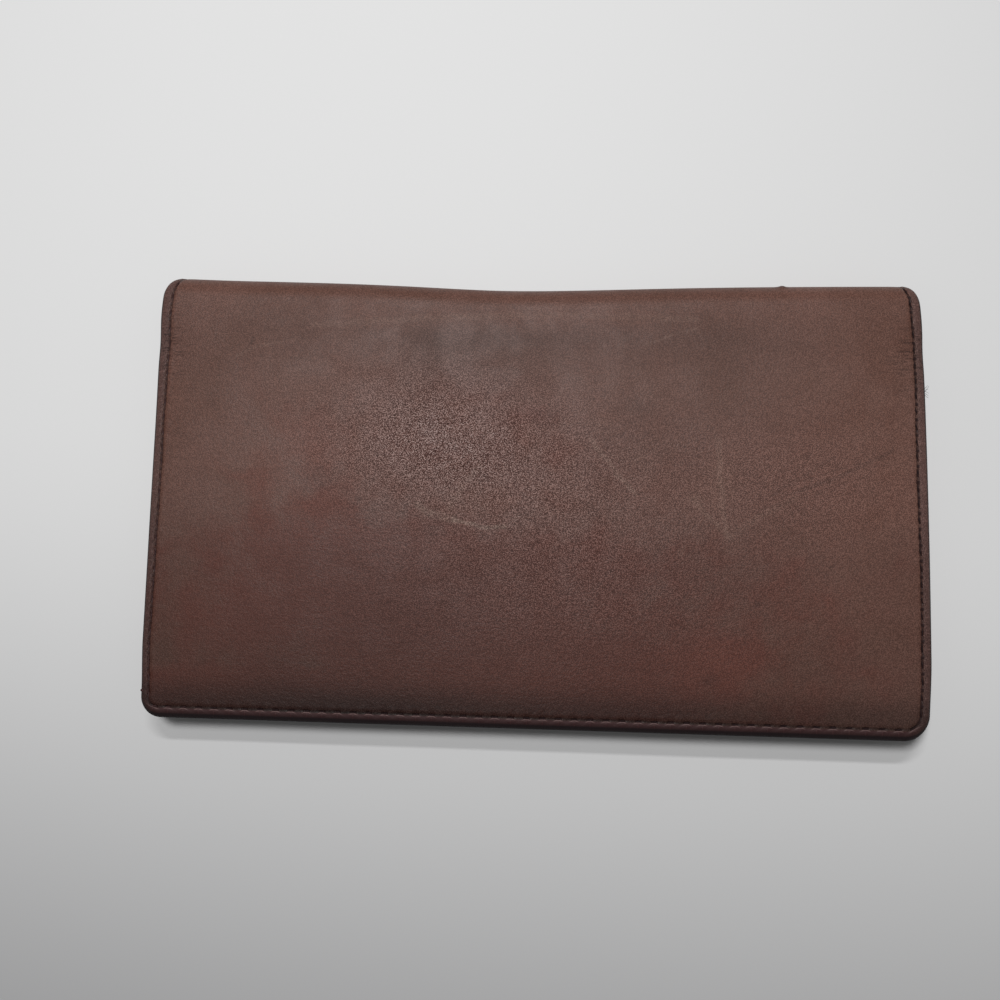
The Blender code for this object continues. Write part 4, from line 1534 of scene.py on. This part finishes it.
class WALLET_OT_edge_seam(bpy.types.Operator):
    """Sew the seam round the open edges and over both ends of the fold, outside and inside"""

    bl_idname = "wallet.edge_seam"
    bl_label = "Edge Seam"

    def execute(self, context):
        sizes, _, _ = scene_settings()
        lines = (
            ("edge_seam", cover_outside, 1, LEATHER, EDGE_SEED, "cover_leather"),
            ("inside_seam", inside_surface, -1, LINING_HIGH.z, INSIDE_SEED, "pocket_leather"),
        )
        stitches = list(self.stitches(sizes))
        for index, zone in enumerate(ZONES):
            for name, surface, facing, depth, first_seed, slot in lines:
                places = [
                    self.laid(surface, facing, *stitch, sizes)
                    for stitch in stitches
                    if zone_at(stitch[0][1]) is zone
                ]
                piece = add_stitches(f"{name}_{zone.name}", places, sizes, first_seed + index, slot)
                bend_with_zone(piece, zone, depth, sizes)
        return {"FINISHED"}

    def stitches(self, sizes):
        """The place, a place a little further along the seam, the slant and the length of each stitch."""
        last = int(seam_length(1, sizes) / even_pitch(1, sizes))
        chance = np.random.default_rng(SLANT_SEED)
        for half in HALVES:
            for number in range(-last, last + 1):
                travel = number * float(even_pitch(number, sizes))
                place = seam_place(travel, half, sizes)
                beyond = seam_place(travel + 0.4 * MM, half, sizes)
                slant = (7 + 3 * float(up_side(travel))) * (1 + 0.5 * chance.standard_normal())
                yield place, beyond, math.radians(slant), float(stitch_length(travel, sizes))

    def laid(self, surface, facing, place, beyond, slant, length, sizes):
        """A stitch's middle, direction, up direction and length. On the table's side it lies deeper."""
        point, direction, up = surface_frame(surface, place, beyond, sizes, facing)
        direction = direction * math.cos(slant) + np.cross(up, direction) * math.sin(slant)
        proud = 0.10 * MM
        if facing > 0:
            proud -= 0.30 * MM * float(smooth(-place[1], 0.0, HALF_ARC))
        return point + up * proud, direction, up, length


class WALLET_OT_thread_ends(bpy.types.Operator):
    """Add the burnt end of the thread on the left edge and the loose fibres on the right one"""

    bl_idname = "wallet.thread_ends"
    bl_label = "Thread Ends"

    def execute(self, context):
        chance = np.random.default_rng(FIBRE_SEED)
        steps = np.linspace(0.0, 1.0, 7)[:, None]
        knot_y, knot_radii = -48.3 * MM, np.array([0.14, 0.2, 0.26, 0.34, 0.38, 0.32, 0.12]) * MM
        edge = float(side_line(path_place(knot_y), -1))
        knot = np.array([edge + 1.1 * MM, knot_y, 10.5 * MM]) + steps * np.array([-1.15, 0.12, -0.2]) * MM
        meshes = [tube_mesh("knot", knot, knot_radii, 10)]
        for number in range(6):
            y = (26.2 + 0.28 * number) * MM
            edge = float(side_line(path_place(y), 1))
            start = np.array([edge - 0.4 * MM, y, 10.6 * MM])
            reach = np.array([0.75 + 0.3 * chance.random(), chance.normal(0.0, 0.4), 0.3]) * MM
            bend = np.array([0.0, chance.normal(0.0, 0.3), chance.normal(0.1, 0.2)]) * MM
            hair = start + steps * reach + steps**2 * bend
            meshes.append(tube_mesh("hair", hair, np.linspace(0.05, 0.02, len(steps)) * MM, 5))
        mesh = joined_mesh("thread_ends", meshes)
        piece = add_piece("thread_ends", mesh, kept_finish("waxed_thread"), "cover_leather")
        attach(piece, "front_half")
        return {"FINISHED"}


class WALLET_OT_column_seams(bpy.types.Operator):
    """Sew the card slots down along both sides of the gap between the two columns"""

    bl_idname = "wallet.column_seams"
    bl_label = "Column Seams"

    def execute(self, context):
        sizes, _, _ = scene_settings()
        below_mouth, above_floor = 1.6 * MM, 0.8 * MM
        for half, (half_name, body, slot_rows) in HALVES.items():
            highest = mouth_and_floor(half, 1)[0] - below_mouth
            lowest = mouth_and_floor(half, slot_rows)[1] + above_floor
            count = int((highest - lowest) / sizes.stitch_pitch)
            places = []
            for side in (-1, 1):
                x = side * (SLOT_LOW.x + sizes.column_seam)
                for y in highest - sizes.stitch_pitch * np.arange(count + 1):
                    along = half * path_place(y)
                    beyond = (x, along + half * 0.3 * MM)
                    point, direction, up = surface_frame(inside_surface, (x, along), beyond, sizes, -1)
                    flat_direction = unit(direction - up * (direction @ up))
                    places.append((point + up * 0.10 * MM, flat_direction, up, sizes.edge_stitch))
            name = f"column_seams_{half_name}"
            piece = add_stitches(name, places, sizes, COLUMN_SEED + half, "pocket_leather")
            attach(piece, body)
        return {"FINISHED"}


class WALLET_OT_stage(bpy.types.Operator):
    """Set up the table top, the soft light and the camera"""

    bl_idname = "wallet.stage"
    bl_label = "Stage"

    def execute(self, context):
        _, colours, studio = scene_settings()
        self.add_floor(colours)
        self.add_sky(studio.sky_strength)
        self.add_lamp("key", studio.key_place, studio.key_size, studio.key_size, studio.key_power)
        self.add_lamp("far", studio.far_place, studio.far_width, studio.far_size, studio.far_power)
        self.add_camera(studio)
        context.scene.view_settings.view_transform = "Standard"
        return {"FINISHED"}

    def add_floor(self, colours):
        """A table top, darker towards the viewer, just under the back cover."""
        reach, top = 2.0, -0.02 * MM
        corners = [(-reach, -reach, top), (reach, -reach, top), (reach, reach, top), (-reach, reach, top)]
        mesh = bpy.data.meshes.new("floor")
        mesh.from_pydata(corners, [], [(0, 1, 2, 3)])
        finish = Finish("table_top")
        x, y, _ = finish.axes(finish.place)
        # Painted shade: the table top darkens towards the viewer and a little to the left, where the lamps'
        # light falls off
        colour = finish.mix(finish.ramp(y + x * 0.10, 0.01, -0.20), colours.floor, colours.floor_shade)
        mesh.materials.append(finish.set(Base_Color=colour, Roughness=0.7, Specular_IOR_Level=0.2))
        floor = bpy.data.objects.new("floor", mesh)
        bpy.context.scene.collection.objects.link(floor)
        floor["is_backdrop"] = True

    def add_sky(self, strength):
        """A weak even light from all round."""
        world = bpy.data.worlds.new("soft_sky")
        world.use_nodes = True
        sky = world.node_tree.nodes["Background"]
        sky.inputs["Color"].default_value = (1.0, 1.0, 1.0, 1.0)
        sky.inputs["Strength"].default_value = strength
        bpy.context.scene.world = world

    def add_lamp(self, name, place, width, height, power):
        """A flat lamp that faces the wallet."""
        light = bpy.data.lights.new(name, "AREA")
        light.shape = "RECTANGLE"
        light.size, light.size_y, light.energy = width, height, power
        lamp = bpy.data.objects.new(name, light)
        lamp.location = place
        lamp.rotation_euler = (-lamp.location).to_track_quat("-Z", "Y").to_euler()
        bpy.context.scene.collection.objects.link(lamp)

    def add_camera(self, studio):
        view = bpy.data.cameras.new("camera")
        view.lens, view.sensor_width, view.clip_start = studio.lens, 36.0, 0.005
        camera = bpy.data.objects.new("camera", view)
        camera.location = studio.camera_place
        turn = np.radians(studio.camera_turn)
        angle = float(np.linalg.norm(turn))
        camera.rotation_mode = "AXIS_ANGLE"
        camera.rotation_axis_angle = (angle, *(turn / angle))
        bpy.context.scene.collection.objects.link(camera)
        bpy.context.scene.camera = camera


OPERATORS = (
    WALLET_OT_cover_leather,
    WALLET_OT_lining,
    WALLET_OT_note_pockets,
    WALLET_OT_card_slots,
    WALLET_OT_edge_seam,
    WALLET_OT_thread_ends,
    WALLET_OT_column_seams,
    WALLET_OT_stage,
)


class WALLET_PT_builder(bpy.types.Panel):
    """The wallet's builders, in the order in which they run"""

    bl_idname = "WALLET_PT_builder"
    bl_label = "Long Bifold Wallet"
    bl_space_type = "VIEW_3D"
    bl_region_type = "UI"
    bl_category = "Wallet"

    def draw(self, context):
        for operator in OPERATORS:
            self.layout.operator(operator.bl_idname)
        for group in scene_settings():
            box = self.layout.box()
            for name in group.bl_rna.properties.keys():
                if name not in {"rna_type", "name"}:
                    box.prop(group, name)


GROUPS = {"wallet_sizes": WalletSizes, "wallet_colours": WalletColours, "wallet_studio": WalletStudio}


def register():
    for group in GROUPS.values():
        bpy.utils.register_class(group)
    for name, group in GROUPS.items():
        setattr(bpy.types.Scene, name, bpy.props.PointerProperty(type=group))
    for operator in OPERATORS:
        bpy.utils.register_class(operator)
    bpy.utils.register_class(WALLET_PT_builder)


def unregister():
    bpy.utils.unregister_class(WALLET_PT_builder)
    for operator in reversed(OPERATORS):
        bpy.utils.unregister_class(operator)
    for name, group in GROUPS.items():
        delattr(bpy.types.Scene, name)
        bpy.utils.unregister_class(group)


def main():
    register()
    for operator in OPERATORS:
        group, name = operator.bl_idname.split(".")
        getattr(getattr(bpy.ops, group), name)()
    boxes = {"cad": cad_box, "visual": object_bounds()}
    {name: [list(corner) for corner in box] for name, box in boxes.items()}


if __name__ == "__main__":
    main()
